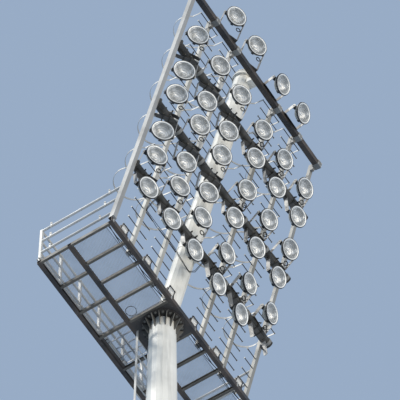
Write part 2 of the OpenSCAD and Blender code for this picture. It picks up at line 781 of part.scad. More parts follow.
module top_yokes() { yokes(top_u, top_row, 0, [1:4]); }
module upper_yokes() { for (row = [upper_high, upper_low]) yokes(tube_us[2], row, tube_d / 2); }
module middle_yokes() { for (row = [middle_high, middle_low]) yokes(tube_us[1], row, tube_d / 2); }
module lower_yokes() { for (row = [lower_high, lower_low]) yokes(tube_us[0], row, tube_d / 2); }
module top_lamps() { lamps(top_u, top_row, [1:4]); }
module upper_lamps() { for (row = [upper_high, upper_low]) lamps(tube_us[2], row); }
module middle_lamps() { for (row = [middle_high, middle_low]) lamps(tube_us[1], row); }
module lower_lamps() {
    lamps(tube_us[0], lower_high);
    lamps(tube_us[0], lower_low, [0:4]);
}

flood_y = -front_y - 5;
flood_z = plate_z + 170;
flood_pitch = 25;
flood_d = 60;
module small_flood_brackets() {
    color(steel) for (i = all_columns) translate([column_x(i), flood_y, plate_z]) {
        x = flood_w / 2 + 8;
        box(-x, x, -15, 15, 0, 5);
        for (s = [-1, 1]) {
            box(s * x - 2.5, s * x + 2.5, -15, 15, 0, flood_z - plate_z);
            translate([s * x - 2.5, 0, flood_z - plate_z]) rotate([0, 90, 0])
                cylinder(d = 30, h = 5, $fn = 24);
        }
    }
}
module small_floods() {
    color("dimgray") for (i = all_columns)
        translate([column_x(i), flood_y, flood_z]) rotate([flood_pitch, 0, 0]) {
            box(-flood_w / 2, flood_w / 2, -flood_d / 2, flood_d / 2, -flood_h / 2, flood_h / 2);
            for (s = [-1, 1]) translate([s * flood_w / 2, 0, 0]) rotate([0, 90 * s, 0])
                cylinder(d = 22, h = 8 - 2.5 - seat, $fn = 24);
        }
}

// A cable through points, made of six-sided straight lengths, which lie flat_r from their axis
function flat_r(d) = d / 2 * cos(30);
module cable(points, d) {
    for (k = [1:len(points) - 1]) hull() {
        translate(points[k - 1]) sphere(d = d, $fn = 6);
        translate(points[k]) sphere(d = d, $fn = 6);
    }
}

supply_d = 16;
spread = 24;
deck_edge = -front_y + beam_w / 2 + cable_gap;
cable_y = deck_edge - 42;
cable_z = deck_z + beam_d + flat_r(supply_d) + seat;

// The round box on the cross beam beside the head plate, where the cables leave the mast
box_d = 92;
box_x = -pole_bay / 2;
box_y = deck_edge - 50;
module junction_box() {
    color("white") translate([box_x, box_y, deck_z + beam_d + seat])
        cylinder(d = box_d, h = 62, $fn = 32);
}

// The platform's cable from the box to one end, on its cross beams and hanging a little
// between them; its end goes into the front beam
function sway(x, shift) = cable_y + shift + 15 * sin(x * 0.45 + shift * 5);
module deck_cable(side, shift) {
    near = side > 0 ? box_x + box_d / 2 + supply_d / 2 + 2 : -box_x + box_d / 2 + supply_d / 2 + 2;
    turn = platform_half - 42 + shift;
    cable(concat(
        [[side * near, box_y + shift, cable_z]],
        side > 0 ? [[0, cable_y + shift - 6, cable_z - 10], [-box_x - 30, sway(-box_x, shift), cable_z]] : [],
        [for (k = [0:front_bays - 1], s = [30, 150, 300, front_bay - 30])
            if ((k < front_bays - 1 || s < 301) && (side > 0 || k > 0 || s > 100))
                let (x = pole_bay / 2 + k * front_bay + s)
                    [side * x, sway(x, shift), cable_z - (s > 100 && s < 301 ? 14 : 0)]],
        [[side * turn, cable_y + shift, cable_z], [side * turn, deck_edge - 110, cable_z],
            [side * turn, -front_y - beam_w / 2 + beam_t + supply_d / 2 + 1, cable_z]]), supply_d);
}

// The coil of spare cable on the grating beside the head plate
coil_r = 96;
coil_d = 14;
module cable_coil() {
    translate([-pole_bay / 2 - 130, 318, deck_top + coil_d / 2 + seat])
        rotate_extrude($fn = 48) translate([coil_r, 0]) circle(d = coil_d, $fn = 16);
}

// A cable of the lamp frame, which comes down from the lowest tube, is tied to two posts and
// to the head pole, and goes back up to the tube; below the first one if shift isn't 0
frame_cable_d = 12;
module frame_cable(drop, shift) {
    tie_n = climb_n - climb_w / 2 - flat_r(frame_cable_d) - seat;
    pole_face = pole_n - pole_half(tube_u0 - 400) - flat_r(frame_cable_d) - seat;
    tube_low = tube_u0 - tube_d / 2 - flat_r(frame_cable_d) - seat;
    tie_u = tube_u0 - 400 - shift;
    far_x = climb_xs[0];
    near_x = climb_xs[1];
    on_frame() cable([
        [far_x + 60 - shift, 0, tube_low], [far_x + 52 - shift, tie_n * 0.6, tube_low - 110],
        [far_x + 34 - shift, tie_n, tie_u + 40], [far_x + 40 - shift, tie_n, tie_u],
        [far_x + 210, tie_n - 8, tie_u - 18 - drop / 2],
        [(far_x + near_x) / 2, tie_n - 10, tie_u - 28 - drop],
        [near_x - 200, tie_n - 8, tie_u - 20 - drop / 2], [near_x - 15, tie_n, tie_u],
        [near_x + 15, tie_n, tie_u], [near_x + 200, tie_n, tie_u - drop / 3],
        [near_x / 2, tie_n + 20, tie_u - drop / 3], [-30, pole_face, tie_u + 6],
        [20, pole_face, tie_u + 10], [92 + shift * 0.9, pole_face * 0.7, tie_u + 90],
        [104 + shift * 0.9, 0, tube_low]], frame_cable_d);
}

module supply_cables() {
    color("black") {
        for (side = [-1, 1], shift = [-spread / 2, spread / 2]) deck_cable(side, shift);
        cable_coil();
        frame_cable(0, 0);
        frame_cable(45, 18);
    }
}

base_flange();
lower_shaft();
middle_shaft();
upper_shaft();
service_cover();
lower_ladder();
upper_ladder();
ladder_brackets();
top_flange();
flange_bolts();
head_plate();
pole_stub();
head_pole();
pole_cap();
front_beam();
inner_beam();
outer_beam();
front_cross_beams();
rear_cross_beams();
front_deck();
rear_deck();
hatch_trimmer();
hatch_door();
rail_posts();
rear_rails();
end_rails();
toe_board();
rail_clamps();
left_edge_post();
right_edge_post();
top_beam();
lower_tube();
middle_tube();
upper_tube();
pole_saddles();
left_climbing_posts();
right_climbing_posts();
left_hoops();
right_hoops();
post_clamps();
top_yokes();
upper_yokes();
middle_yokes();
lower_yokes();
top_lamps();
upper_lamps();
middle_lamps();
lower_lamps();
lamp_leads();
small_flood_brackets();
small_floods();
supply_cables();
junction_box();
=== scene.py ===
import bpy
import bmesh
import math
import random
from mathutils import Matrix, Vector


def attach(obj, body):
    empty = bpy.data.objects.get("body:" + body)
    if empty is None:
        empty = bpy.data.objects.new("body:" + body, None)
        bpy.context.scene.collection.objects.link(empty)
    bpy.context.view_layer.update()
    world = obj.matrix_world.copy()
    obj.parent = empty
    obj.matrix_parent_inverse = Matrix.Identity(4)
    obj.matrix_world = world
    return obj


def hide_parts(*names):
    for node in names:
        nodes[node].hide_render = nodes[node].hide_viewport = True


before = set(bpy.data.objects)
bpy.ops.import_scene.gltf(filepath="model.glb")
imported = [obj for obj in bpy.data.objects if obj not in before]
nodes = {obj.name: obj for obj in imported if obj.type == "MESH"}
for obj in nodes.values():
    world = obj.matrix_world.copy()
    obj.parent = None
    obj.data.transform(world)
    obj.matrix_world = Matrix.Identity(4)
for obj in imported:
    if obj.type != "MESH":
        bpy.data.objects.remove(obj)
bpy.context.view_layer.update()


# camera: far below and to the left of the head, looking up at its lamp side
camera = {"place": (-24.136, -15.964, -15.564), "azimuth": 32.173, "elevation": 60.828, "roll": -0.477,
          "lens": 290.17, "sensor": 36.0}


def addCamera(c):
    azimuth, elevation, roll = (math.radians(c[k]) for k in ("azimuth", "elevation", "roll"))
    flat = math.cos(elevation)
    look = Vector((flat * math.cos(azimuth), flat * math.sin(azimuth), math.sin(elevation)))
    level = Vector((math.sin(azimuth), -math.cos(azimuth), 0))
    upright = level.cross(look)
    right = level * math.cos(roll) + upright * math.sin(roll)
    up = upright * math.cos(roll) - level * math.sin(roll)
    data = bpy.data.cameras.new("viewCamera")
    data.lens, data.sensor_width = c["lens"], c["sensor"]
    data.clip_start, data.clip_end = 0.5, 400
    cam = bpy.data.objects.new("viewCamera", data)
    cam.matrix_world = Matrix((
        (right.x, up.x, -look.x, c["place"][0]),
        (right.y, up.y, -look.y, c["place"][1]),
        (right.z, up.z, -look.z, c["place"][2]),
        (0, 0, 0, 1)))
    bpy.context.scene.collection.objects.link(cam)
    bpy.context.scene.camera = cam


addCamera(camera)
print("camera placed")


# light and floor
studio = {"sky": (0.42, 0.55, 0.75), "skyStrength": 0.75, "floorRadius": 13, "floor": (0.78, 0.78, 0.76),
          "lights": {"keyLight": {"power": 2.4, "angle": 6, "from": (-0.9, 0.43, 0.95), "colour": (1.0, 0.98, 0.94)},
                     "fillLight": {"power": 2.1, "angle": 50, "from": (-0.25, -0.95, -0.15),
                                   "colour": (1.0, 0.92, 0.80)}}}


def addStudio(s):
    world = bpy.data.worlds.new("studio")
    world.use_nodes = True
    background = world.node_tree.nodes["Background"]
    background.inputs["Color"].default_value = (*s["sky"], 1)
    background.inputs["Strength"].default_value = s["skyStrength"]
    bpy.context.scene.world = world
    for name, given in s["lights"].items():
        sun = bpy.data.lights.new(name, "SUN")
        sun.energy, sun.angle, sun.color = given["power"], math.radians(given["angle"]), given["colour"]
        light = bpy.data.objects.new(name, sun)
        light.rotation_euler = Vector(given["from"]).to_track_quat("Z", "Y").to_euler()
        bpy.context.scene.collection.objects.link(light)
    bm = bmesh.new()
    bmesh.ops.create_circle(bm, cap_ends=True, segments=96, radius=s["floorRadius"])
    mesh = bpy.data.meshes.new("floor")
    bm.to_mesh(mesh)
    floor = bpy.data.objects.new("floor", mesh)
    bpy.context.scene.collection.objects.link(floor)
    material = bpy.data.materials.new("floor")
    material.use_nodes = True
    material.node_tree.nodes["Principled BSDF"].inputs["Base Color"].default_value = (*s["floor"], 1)
    material.node_tree.nodes["Principled BSDF"].inputs["Roughness"].default_value = 0.9
    floor.data.materials.append(material)
    bpy.context.scene.view_settings.view_transform = "Standard"


addStudio(studio)
print("light and floor placed")


# where things stand, in metres: the lamp frame leans out from its foot on the platform's front beam
mast = {"deckZ": 31.8, "footY": -0.370, "lean": 13.5, "bay": 0.73, "tubeRadius": 0.0825, "topHeight": 7.32,
        "tubeHeights": (1.80, 3.71, 5.62), "climbX": (-1.46, -0.73, 0.73, 1.46), "pivotX": 0.228,
        "strapWidth": 0.08, "strapThickness": 0.007}
frameTurn = Matrix.Translation((0, mast["footY"], mast["deckZ"])) @ Matrix.Rotation(math.radians(mast["lean"]), 4, "X")
footOffset = frameTurn.inverted().translation[1:]


# materials: a small kit for node chains, then one function a finish
def feed(socket, value):
    if isinstance(value, bpy.types.NodeSocket):
        socket.id_data.links.new(value, socket)
    else:
        socket.default_value = value


def startFinish(name):
    material = bpy.data.materials.new(name)
    material.use_nodes = True
    shader = material.node_tree.nodes["Principled BSDF"]

    def add(kind, **given):
        node = material.node_tree.nodes.new(kind)
        for key, value in given.items():
            if hasattr(node, key):
                setattr(node, key, value)
            else:
                feed(node.inputs[key.replace("_", " ")], value)
        return node

    return material, shader, add


def coordinates(add, scale=(1, 1, 1), attribute=None):
    if attribute:
        source = add("ShaderNodeAttribute", attribute_name=attribute).outputs["Vector"]
    else:
        source = add("ShaderNodeTexCoord").outputs["Object"]
    return add("ShaderNodeMapping", Vector=source, Scale=scale).outputs["Vector"]


def noise(add, where, scale, detail=3.0, roughness=0.55):
    return add("ShaderNodeTexNoise", Vector=where, Scale=scale, Detail=detail, Roughness=roughness).outputs["Fac"]


def spread(add, value, low, high, toLow=0.0, toHigh=1.0):
    node = add("ShaderNodeMapRange", Value=value)
    for key, number in (("From Min", low), ("From Max", high), ("To Min", toLow), ("To Max", toHigh)):
        node.inputs[key].default_value = number
    return node.outputs["Result"]


def tint(add, amount, first, second):
    node = add("ShaderNodeMix", data_type="RGBA")
    for socket, value in ((node.inputs[0], amount), (node.inputs[6], first), (node.inputs[7], second)):
        feed(socket, (*value, 1) if isinstance(value, tuple) else value)
    return node.outputs[2]


def combine(add, first, second, operation="MULTIPLY"):
    node = add("ShaderNodeMath", operation=operation)
    feed(node.inputs[0], first)
    feed(node.inputs[1], second)
    return node.outputs[0]


def raised(add, height, strength, distance):
    return add("ShaderNodeBump", Height=height, Strength=strength, Distance=distance).outputs["Normal"]


def wire(shader, **sockets):
    for key, value in sockets.items():
        feed(shader.inputs[key.replace("_", " ")], value)


zinc = {"light": (0.62, 0.60, 0.54), "dull": (0.42, 0.41, 0.37), "stain": (0.27, 0.25, 0.21), "metal": 0.15,
        "spangle": 55.0, "streak": (9.0, 9.0, 0.45)}


rungShadeBands = {"spacing": 0.73, "from": 0.0365, "to": 0.279, "dark": (0.075, 0.070, 0.066)}   # painted shade on the rungs between the posts, where they lie in shade
yokeFootShade = {"radius": 0.165, "tubePitch": 1.91, "beamLift": 0.03, "dark": (0.105, 0.098, 0.088)}   # painted shade on the yokes' feet by the tubes and the top beam


def zincFinish(name, z, stains=0.5, rungShade=None):
    material, shader, add = startFinish(name)
    plain = coordinates(add)
    cells = add("ShaderNodeTexVoronoi", Vector=plain, Scale=z["spangle"]).outputs["Color"]
    patches = spread(add, noise(add, plain, 1.7), 0.35, 0.68)
    streaks = spread(add, noise(add, coordinates(add, z["streak"]), 1.0, 5.0, 0.6), 0.52, 0.72, 0.0, stains)
    base = tint(add, patches, z["light"], z["dull"])
    grey = add("ShaderNodeRGBToBW", Color=cells).outputs["Val"]
    crystals = tint(add, combine(add, grey, 0.28), base, z["dull"])
    colour = tint(add, streaks, crystals, z["stain"])
    # painted shade: the rungs outside the posts are darkened, standing for their shade
    if rungShade:
        off = combine(add, add("ShaderNodeSeparateXYZ", Vector=plain).outputs["X"], rungShade["spacing"] / 2, "PINGPONG")
        past, short = combine(add, off, rungShade["from"], "GREATER_THAN"), combine(add, off, rungShade["to"], "LESS_THAN")
        colour = tint(add, combine(add, past, short), colour, rungShade["dark"])
    if "yokeFootShade" in z:   # painted shade on the yokes' feet, by the distance from the axis of the nearest tube or the top beam
        f = z["yokeFootShade"]
        level = add("ShaderNodeMapping", Vector=plain, Location=(0, *footOffset),
                    Rotation=(-math.radians(mast["lean"]), 0, 0))
        split = add("ShaderNodeSeparateXYZ", Vector=level.outputs["Vector"])
        up = combine(add, split.outputs["Z"], mast["tubeHeights"][0] - f["tubePitch"], "SUBTRACT")
        top = combine(add, split.outputs["Z"], mast["topHeight"] + f["beamLift"], "SUBTRACT")
        top = combine(add, top, 0.0, "ABSOLUTE")
        near = combine(add, combine(add, up, f["tubePitch"] / 2, "PINGPONG"), top, "MINIMUM")
        deep = combine(add, split.outputs["Y"], split.outputs["Y"])
        out = combine(add, combine(add, near, 2.0, "POWER"), deep, "ADD")
        colour = tint(add, combine(add, out, f["radius"] ** 2, "LESS_THAN"), colour, f["dark"])
    grain = noise(add, plain, 160.0, 2.0)
    wire(shader, Base_Color=colour, Metallic=z["metal"],
         Roughness=spread(add, patches, 0.0, 1.0, 0.42, 0.62), Normal=raised(add, grain, 0.25, 0.0006))
    return material


darkPaint = {"dark": (0.030, 0.027, 0.025), "brown": (0.085, 0.066, 0.052), "dust": (0.19, 0.18, 0.165)}


def darkSteelFinish(name, d, dust=0.35, gloss=(0.46, 0.7), metal=0.1, paleBelow=None):
    material, shader, add = startFinish(name)
    plain = coordinates(add)
    patches = spread(add, noise(add, plain, 3.2, 4.0), 0.38, 0.66)
    rungShade = spread(add, noise(add, plain, 23.0, 5.0, 0.65), 0.55, 0.78, 0.0, dust)
    grain = noise(add, plain, 210.0, 2.0)
    colour = tint(add, rungShade, tint(add, patches, d["dark"], d["brown"]), d["dust"])
    if paleBelow:   # the gussets under the flange are paler than its plate
        height = add("ShaderNodeSeparateXYZ", Vector=plain).outputs["Z"]
        colour = tint(add, combine(add, height, paleBelow, "LESS_THAN"), colour, d["pale"])
    wire(shader, Base_Color=colour, Metallic=metal,
         Roughness=spread(add, patches, 0.0, 1.0, *gloss), Normal=raised(add, grain, 0.3, 0.0005))
    return material


gratingZinc = {"light": (0.46, 0.48, 0.50), "dull": (0.28, 0.29, 0.30)}


def gratingFinish(name, g):
    material, shader, add = startFinish(name)
    plain = coordinates(add)
    patches = spread(add, noise(add, plain, 2.4, 4.0), 0.35, 0.65)
    specks = spread(add, noise(add, plain, 90.0, 2.0), 0.5, 0.8, 0.0, 0.5)
    wire(shader, Base_Color=tint(add, specks, tint(add, patches, g["light"], g["dull"]), (0.2, 0.19, 0.17)),
         Metallic=0.3, Roughness=spread(add, patches, 0.0, 1.0, 0.45, 0.65),
         Normal=raised(add, noise(add, plain, 300.0, 1.0), 0.2, 0.0004))
    return material


bowlPaint = {"clean": (0.64, 0.62, 0.54), "dull": (0.42, 0.40, 0.34), "dirt": (0.16, 0.14, 0.11)}


def bowlFinish(name, b):
    material, shader, add = startFinish(name)
    local = coordinates(add, attribute="spot")
    patches = spread(add, noise(add, local, 11.0, 4.0), 0.35, 0.7)
    streaks = spread(add, noise(add, coordinates(add, (34.0, 34.0, 3.0), "spot"), 1.0, 4.0), 0.54, 0.76, 0.0, 0.7)
    tone = add("ShaderNodeAttribute", attribute_name="tone").outputs["Fac"]
    base = tint(add, spread(add, tone, 0.0, 1.0, 0.0, 0.45), tint(add, patches, b["clean"], b["dull"]), b["dull"])
    wire(shader, Base_Color=tint(add, streaks, base, b["dirt"]), Metallic=0.15,
         Roughness=spread(add, patches, 0.0, 1.0, 0.38, 0.6),
         Normal=raised(add, noise(add, local, 260.0, 2.0), 0.25, 0.0005))
    return material


def rimFinish(name, colour):
    material, shader, add = startFinish(name)
    local = coordinates(add, attribute="spot")
    smears = spread(add, noise(add, local, 16.0, 4.0), 0.4, 0.7)
    wire(shader, Base_Color=tint(add, smears, colour, tuple(c * 0.82 for c in colour)), Metallic=0.1,
         Roughness=spread(add, smears, 0.0, 1.0, 0.32, 0.5),
         Normal=raised(add, noise(add, local, 60.0, 2.0), 0.08, 0.0006))
    return material


def reflectorFinish(name, bright, dim):
    material, shader, add = startFinish(name)
    local = coordinates(add, attribute="spot")
    tone = add("ShaderNodeAttribute", attribute_name="tone").outputs["Fac"]
    # the bright and dim patches and the rings in the dish's colour are painted reflections
    cells = add("ShaderNodeTexVoronoi", Vector=local, Scale=11.0).outputs["Color"]
    grey = add("ShaderNodeRGBToBW", Color=cells).outputs["Val"]
    reflectionPatches = spread(add, combine(add, noise(add, local, 6.0, 2.0), combine(add, grey, 0.30), "ADD"), 0.52, 0.74)
    facets = add("ShaderNodeTexVoronoi", Vector=local, Scale=24.0).outputs["Distance"]
    reflectionArcs = add("ShaderNodeTexWave", wave_type="RINGS", rings_direction="Z", Vector=local, Scale=9.0, Distortion=1.5,
               Detail=1.0)
    rings = spread(add, reflectionArcs.outputs["Fac"], 0.35, 0.65, 0.0, 0.35)
    base = tint(add, spread(add, tone, 0.0, 1.0, 0.0, 0.25), tint(add, reflectionPatches, bright, dim), dim)
    bumps = combine(add, noise(add, local, 15.0, 1.0), combine(add, facets, 0.55), "ADD")
    wire(shader, Base_Color=tint(add, rings, base, dim), Metallic=0.2,
         Roughness=spread(add, reflectionPatches, 0.0, 1.0, 0.20, 0.38), Normal=raised(add, bumps, 0.4, 0.006))
    return material


def glassFinish(name):
    material, shader, add = startFinish(name)
    local = coordinates(add, attribute="spot")
    film = spread(add, noise(add, local, 14.0, 4.0), 0.4, 0.75)
    # a painted sheen: the pale cover rises towards grazing view
    edge = add("ShaderNodeLayerWeight", Blend=0.35).outputs["Facing"]
    haze = spread(add, film, 0.0, 1.0, 0.03, 0.08)
    wire(shader, Base_Color=(0.72, 0.74, 0.75, 1), Roughness=spread(add, film, 0.0, 1.0, 0.04, 0.16),
         Alpha=combine(add, haze, spread(add, edge, 0.0, 1.0, 0.0, 0.12), "ADD"))
    shader.inputs["IOR"].default_value = 1.5
    return material


def rubberFinish(name, dark, grey):
    material, shader, add = startFinish(name)
    plain = coordinates(add)
    chalk = spread(add, noise(add, plain, 28.0, 4.0), 0.45, 0.75)
    wire(shader, Base_Color=tint(add, chalk, dark, grey), Roughness=spread(add, chalk, 0.0, 1.0, 0.45, 0.75),
         Normal=raised(add, noise(add, plain, 320.0, 2.0), 0.3, 0.0004))
    return material


def plasticFinish(name, clean, dirty):
    material, shader, add = startFinish(name)
    plain = coordinates(add)
    soiled = spread(add, noise(add, plain, 17.0, 5.0), 0.46, 0.74, 0.0, 0.6)
    wire(shader, Base_Color=tint(add, soiled, clean, dirty), Roughness=spread(add, soiled, 0.0, 1.0, 0.42, 0.65),
         Normal=raised(add, noise(add, plain, 240.0, 2.0), 0.2, 0.0004))
    return material


mastZinc = zincFinish("mastZinc", {**zinc, "light": (0.88, 0.85, 0.76), "dull": (0.72, 0.70, 0.63), "metal": 0.05}, 0.4)
climbZinc = zincFinish("climbZinc", {**zinc, "light": (0.52, 0.51, 0.47), "dull": (0.36, 0.355, 0.32), "spangle": 90.0},
                       0.3, rungShadeBands)
# a darker copy of the climbing posts' zinc: painted shade on the right climbing posts and the right edge post
climbZincShaded = zincFinish("climbZincShaded", {**zinc, "light": (0.33, 0.32, 0.29), "dull": (0.22, 0.215, 0.19), "spangle": 90.0},
                       0.4, rungShadeBands)
railZinc = zincFinish("railZinc", {**zinc, "light": (0.62, 0.61, 0.57), "dull": (0.46, 0.45, 0.42), "spangle": 90.0},
                      0.25)
postZinc = zincFinish("postZinc", {**zinc, "light": (0.38, 0.378, 0.36), "dull": (0.26, 0.258, 0.245)}, 0.3)
clampZinc = zincFinish("clampZinc", {**zinc, "light": (0.26, 0.255, 0.235), "dull": (0.17, 0.165, 0.15)}, 0.4)
yokeZinc = zincFinish("yokeZinc", {**zinc, "light": (0.50, 0.49, 0.46), "dull": (0.32, 0.31, 0.29), "spangle": 110.0,
                                  "streak": (22.0, 22.0, 3.0), "yokeFootShade": yokeFootShade}, 0.5)
beamPaint = darkSteelFinish("beamPaint", darkPaint)
# the cross beams: the beams' dark paint and dust made lighter, as painted light thrown back from the sunlit pole
crossPaintBounceLit = darkSteelFinish("crossPaintBounceLit", {**darkPaint, "dark": (0.075, 0.068, 0.055), "brown": (0.14, 0.125, 0.10)},
                             0.6)
tubePaint = darkSteelFinish("tubePaint", {"dark": (0.045, 0.041, 0.034), "brown": (0.10, 0.092, 0.078),
                                          "dust": (0.22, 0.21, 0.185)}, 0.3, (0.24, 0.42), 0.55)
flangePaint = darkSteelFinish("flangePaint", {**darkPaint, "brown": (0.07, 0.062, 0.053), "pale": (0.13, 0.125, 0.11)},
                              0.3, paleBelow=mast["deckZ"] - 0.046)
deckZinc = gratingFinish("deckZinc", gratingZinc)
bowlCast = bowlFinish("bowlCast", bowlPaint)
rimAluminium = rimFinish("rimAluminium", (0.88, 0.87, 0.82))
trayWhite = rimFinish("trayWhite", (0.80, 0.78, 0.72))
darkBand = rubberFinish("darkBand", (0.022, 0.022, 0.022), (0.07, 0.07, 0.068))
reflectorAluminium = reflectorFinish("reflectorAluminium", (0.95, 0.94, 0.90), (0.27, 0.275, 0.26))
frontGlass = glassFinish("frontGlass")
burnerGlass = plasticFinish("burnerGlass", (0.9, 0.9, 0.88), (0.6, 0.58, 0.5))
cableRubber = rubberFinish("cableRubber", (0.012, 0.012, 0.012), (0.05, 0.05, 0.048))
lockBlack = rubberFinish("lockBlack", (0.015, 0.015, 0.015), (0.06, 0.058, 0.055))
boxPlastic = plasticFinish("boxPlastic", (0.80, 0.77, 0.68), (0.45, 0.41, 0.33))

finishOfNode = {
    mastZinc: ["base_flange", "lower_shaft", "middle_shaft", "upper_shaft", "service_cover", "pole_stub", "head_pole",
               "pole_cap", "pole_saddles"],
    postZinc: ["left_edge_post"],
    clampZinc: ["post_clamps"],
    railZinc: ["lower_ladder", "upper_ladder", "ladder_brackets", "rail_posts", "rear_rails", "end_rails", "toe_board",
               "rail_clamps", "left_hoops", "right_hoops"],
    climbZinc: ["left_climbing_posts"],
    climbZincShaded: ["right_climbing_posts", "right_edge_post"],
    yokeZinc: ["top_yokes", "upper_yokes", "middle_yokes", "lower_yokes"],
    flangePaint: ["top_flange", "flange_bolts", "head_plate"],
    beamPaint: ["front_beam", "inner_beam", "outer_beam", "hatch_trimmer", "top_beam", "small_flood_brackets"],
    crossPaintBounceLit: ["front_cross_beams", "rear_cross_beams"],
    tubePaint: ["lower_tube", "middle_tube", "upper_tube"],
    deckZinc: ["front_deck", "rear_deck", "hatch_door"],
    bowlCast: ["top_lamps", "upper_lamps", "middle_lamps", "lower_lamps"],
    cableRubber: ["lamp_leads", "supply_cables"],
    boxPlastic: ["junction_box"],
    lockBlack: ["small_floods"],
}
for finish, names in finishOfNode.items():
    for name in names:
        for slot in nodes[name].material_slots:
            slot.material = finish
print("finishes given to the frame's own parts")


# each row of lamps: its tube's height, above or below it, pivot distance and forward lean in degrees (left half,
# right half), tilt, and each column's pan; "empty" is a yoke whose lamp is missing
lampRows = {
    "top": [{"height": 7.32, "way": 1, "pivot": (0.592, 0.292), "lean": (5, 56), "tilt": 14,
             "pans": (0, -22, -18, 6, 8, 0), "columns": (1, 2, 3, 4)}],
    "upper": [{"height": 5.62, "way": 1, "pivot": (0.592, 0.397), "lean": (7, 20), "tilt": 15,
               "pans": (-36, -22, -20, -14, -6, -2)},
              {"height": 5.62, "way": -1, "pivot": (0.570, 0.579), "lean": (4, 16), "tilt": 14,
               "pans": (-38, -22, -22, -16, -12, -6)}],
    "middle": [{"height": 3.71, "way": 1, "pivot": (0.563, 0.379), "lean": (7, 32), "tilt": 16,
                "pans": (-36, -22, -20, -14, -8, -4)},
               {"height": 3.71, "way": -1, "pivot": (0.596, 0.488), "lean": (4, 12), "tilt": 12,
                "pans": (-40, -22, -20, -12, -6, 0)}],
    "lower": [{"height": 1.80, "way": 1, "pivot": (0.540, 0.369), "lean": (9, 28), "tilt": 6,
               "pans": (-26, -20, -12, -2, 4, 8)},
              {"height": 1.80, "way": -1, "pivot": (0.464, 0.600), "lean": (17, 18), "tilt": 8,
               "pans": (-16, -11, -4, 3, 6, 0), "empty": 5}],
}


def yokePlace(row, column):
    side = 0 if column < 3 else 1
    turn = (0 if row["way"] > 0 else 180) + row["way"] * row["lean"][side]
    return (frameTurn @ Matrix.Translation(((column - 2.5) * mast["bay"], 0, row["height"]))
            @ Matrix.Rotation(math.radians(turn), 4, "X")
            @ Matrix.Rotation(math.radians(row["way"] * row["pans"][column]), 4, "Z"))


def lampPlace(row, column):
    side = 0 if column < 3 else 1
    tilt = row["way"] * 90 + row["tilt"] - row["way"] * row["lean"][side]
    return (yokePlace(row, column) @ Matrix.Translation((0, 0, row["pivot"][side]))
            @ Matrix.Rotation(math.radians(tilt), 4, "X"))


# shapes are drawn with these few helpers
def lathe(bm, profile, steps, closed=False, jitter=0.0, draws=None):
    rings = []
    for radius, height in profile:
        if radius < 1e-6:
            rings.append([bm.verts.new((0, 0, height))])
            continue
        ring = []
        for k in range(steps):
            angle = 2 * math.pi * k / steps
            lift = draws.uniform(-jitter, jitter) if jitter else 0
            ring.append(bm.verts.new((radius * math.cos(angle), radius * math.sin(angle), height + lift)))
        rings.append(ring)
    pairs = list(zip(rings, rings[1:])) + ([(rings[-1], rings[0])] if closed else [])
    for a, b in pairs:
        for k in range(steps):
            corners = []
            for vert in (a[k % len(a)], a[(k + 1) % steps % len(a)], b[(k + 1) % steps % len(b)], b[k % len(b)]):
                if vert not in corners:
                    corners.append(vert)
            bm.faces.new(corners)


def block(bm, low, high, place=None, taper=1.0):
    middle = [(a + b) / 2 for a, b in zip(low, high)]
    verts = []
    for z in (low[2], high[2]):
        k = taper if z == high[2] else 1.0
        for x, y in ((low[0], low[1]), (high[0], low[1]), (high[0], high[1]), (low[0], high[1])):
            point = Vector((middle[0] + (x - middle[0]) * k, middle[1] + (y - middle[1]) * k, z))
            verts.append(bm.verts.new(place @ point if place else point))
    for corners in ((3, 2, 1, 0), (4, 5, 6, 7), (0, 1, 5, 4), (1, 2, 6, 5), (2, 3, 7, 6), (3, 0, 4, 7)):
        bm.faces.new([verts[c] for c in corners])


def prism(bm, outline, low, high, place=None):  # an outline in YZ, pushed along X
    ends = []
    for x in (low, high):
        ends.append([bm.verts.new(place @ Vector((x, y, z)) if place else Vector((x, y, z))) for y, z in outline])
    bm.faces.new(ends[0][::-1])
    bm.faces.new(ends[1])
    for k in range(len(outline)):
        j = (k + 1) % len(outline)
        bm.faces.new((ends[0][k], ends[0][j], ends[1][j], ends[1][k]))


def tubeAlong(bm, points, radius, sides):
    rings = []
    side = None
    for k, point in enumerate(points):
        ahead = Vector(points[min(k + 1, len(points) - 1)]) - Vector(points[max(k - 1, 0)])
        ahead.normalize()
        if side is None:
            side = ahead.orthogonal().normalized()
        side = (side - ahead * side.dot(ahead)).normalized()
        other = ahead.cross(side)
        rings.append([bm.verts.new(Vector(point) + radius * (side * math.cos(a) + other * math.sin(a)))
                      for a in (2 * math.pi * j / sides for j in range(sides))])
    for a, b in zip(rings, rings[1:]):
        for k in range(sides):
            bm.faces.new((a[k], a[(k + 1) % sides], b[(k + 1) % sides], b[k]))
    bm.faces.new(rings[0][::-1])
    bm.faces.new(rings[-1])


def moveNew(bm, matrix, before=()):
    bmesh.ops.transform(bm, matrix=matrix, verts=[v for v in bm.verts if v not in before])


def shapeFrom(bm, name, smoothTo=35):
    bmesh.ops.recalc_face_normals(bm, faces=bm.faces)
    mesh = bpy.data.meshes.new(name)
    bm.to_mesh(mesh)
    bm.free()
    spots = mesh.attributes.new("spot", "FLOAT_VECTOR", "POINT")
    spots.data.foreach_set("vector", [c for v in mesh.vertices for c in v.co])
    if smoothTo:
        mesh.shade_smooth()
        mesh.set_sharp_from_angle(angle=math.radians(smoothTo))
    return bpy.data.objects.new(name, mesh)


def newPiece(name, mesh, body="pylon", standsFor=()):
    piece = bpy.data.objects.new(name, mesh)
    bpy.context.scene.collection.objects.link(piece)
    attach(piece, body)
    if standsFor:
        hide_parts(*standsFor)
    return piece


# Geometry Nodes: a tree with its inputs, its output, and the calls that add nodes and links to it
def startTree(name, output, inputs):
    tree = bpy.data.node_groups.new(name, "GeometryNodeTree")
    for label, kind in inputs.items():
        tree.interface.new_socket(label, in_out="INPUT", socket_type="NodeSocket" + kind)
    tree.interface.new_socket(output, in_out="OUTPUT", socket_type="NodeSocketGeometry")
    return tree, tree.nodes.new, tree.links.new


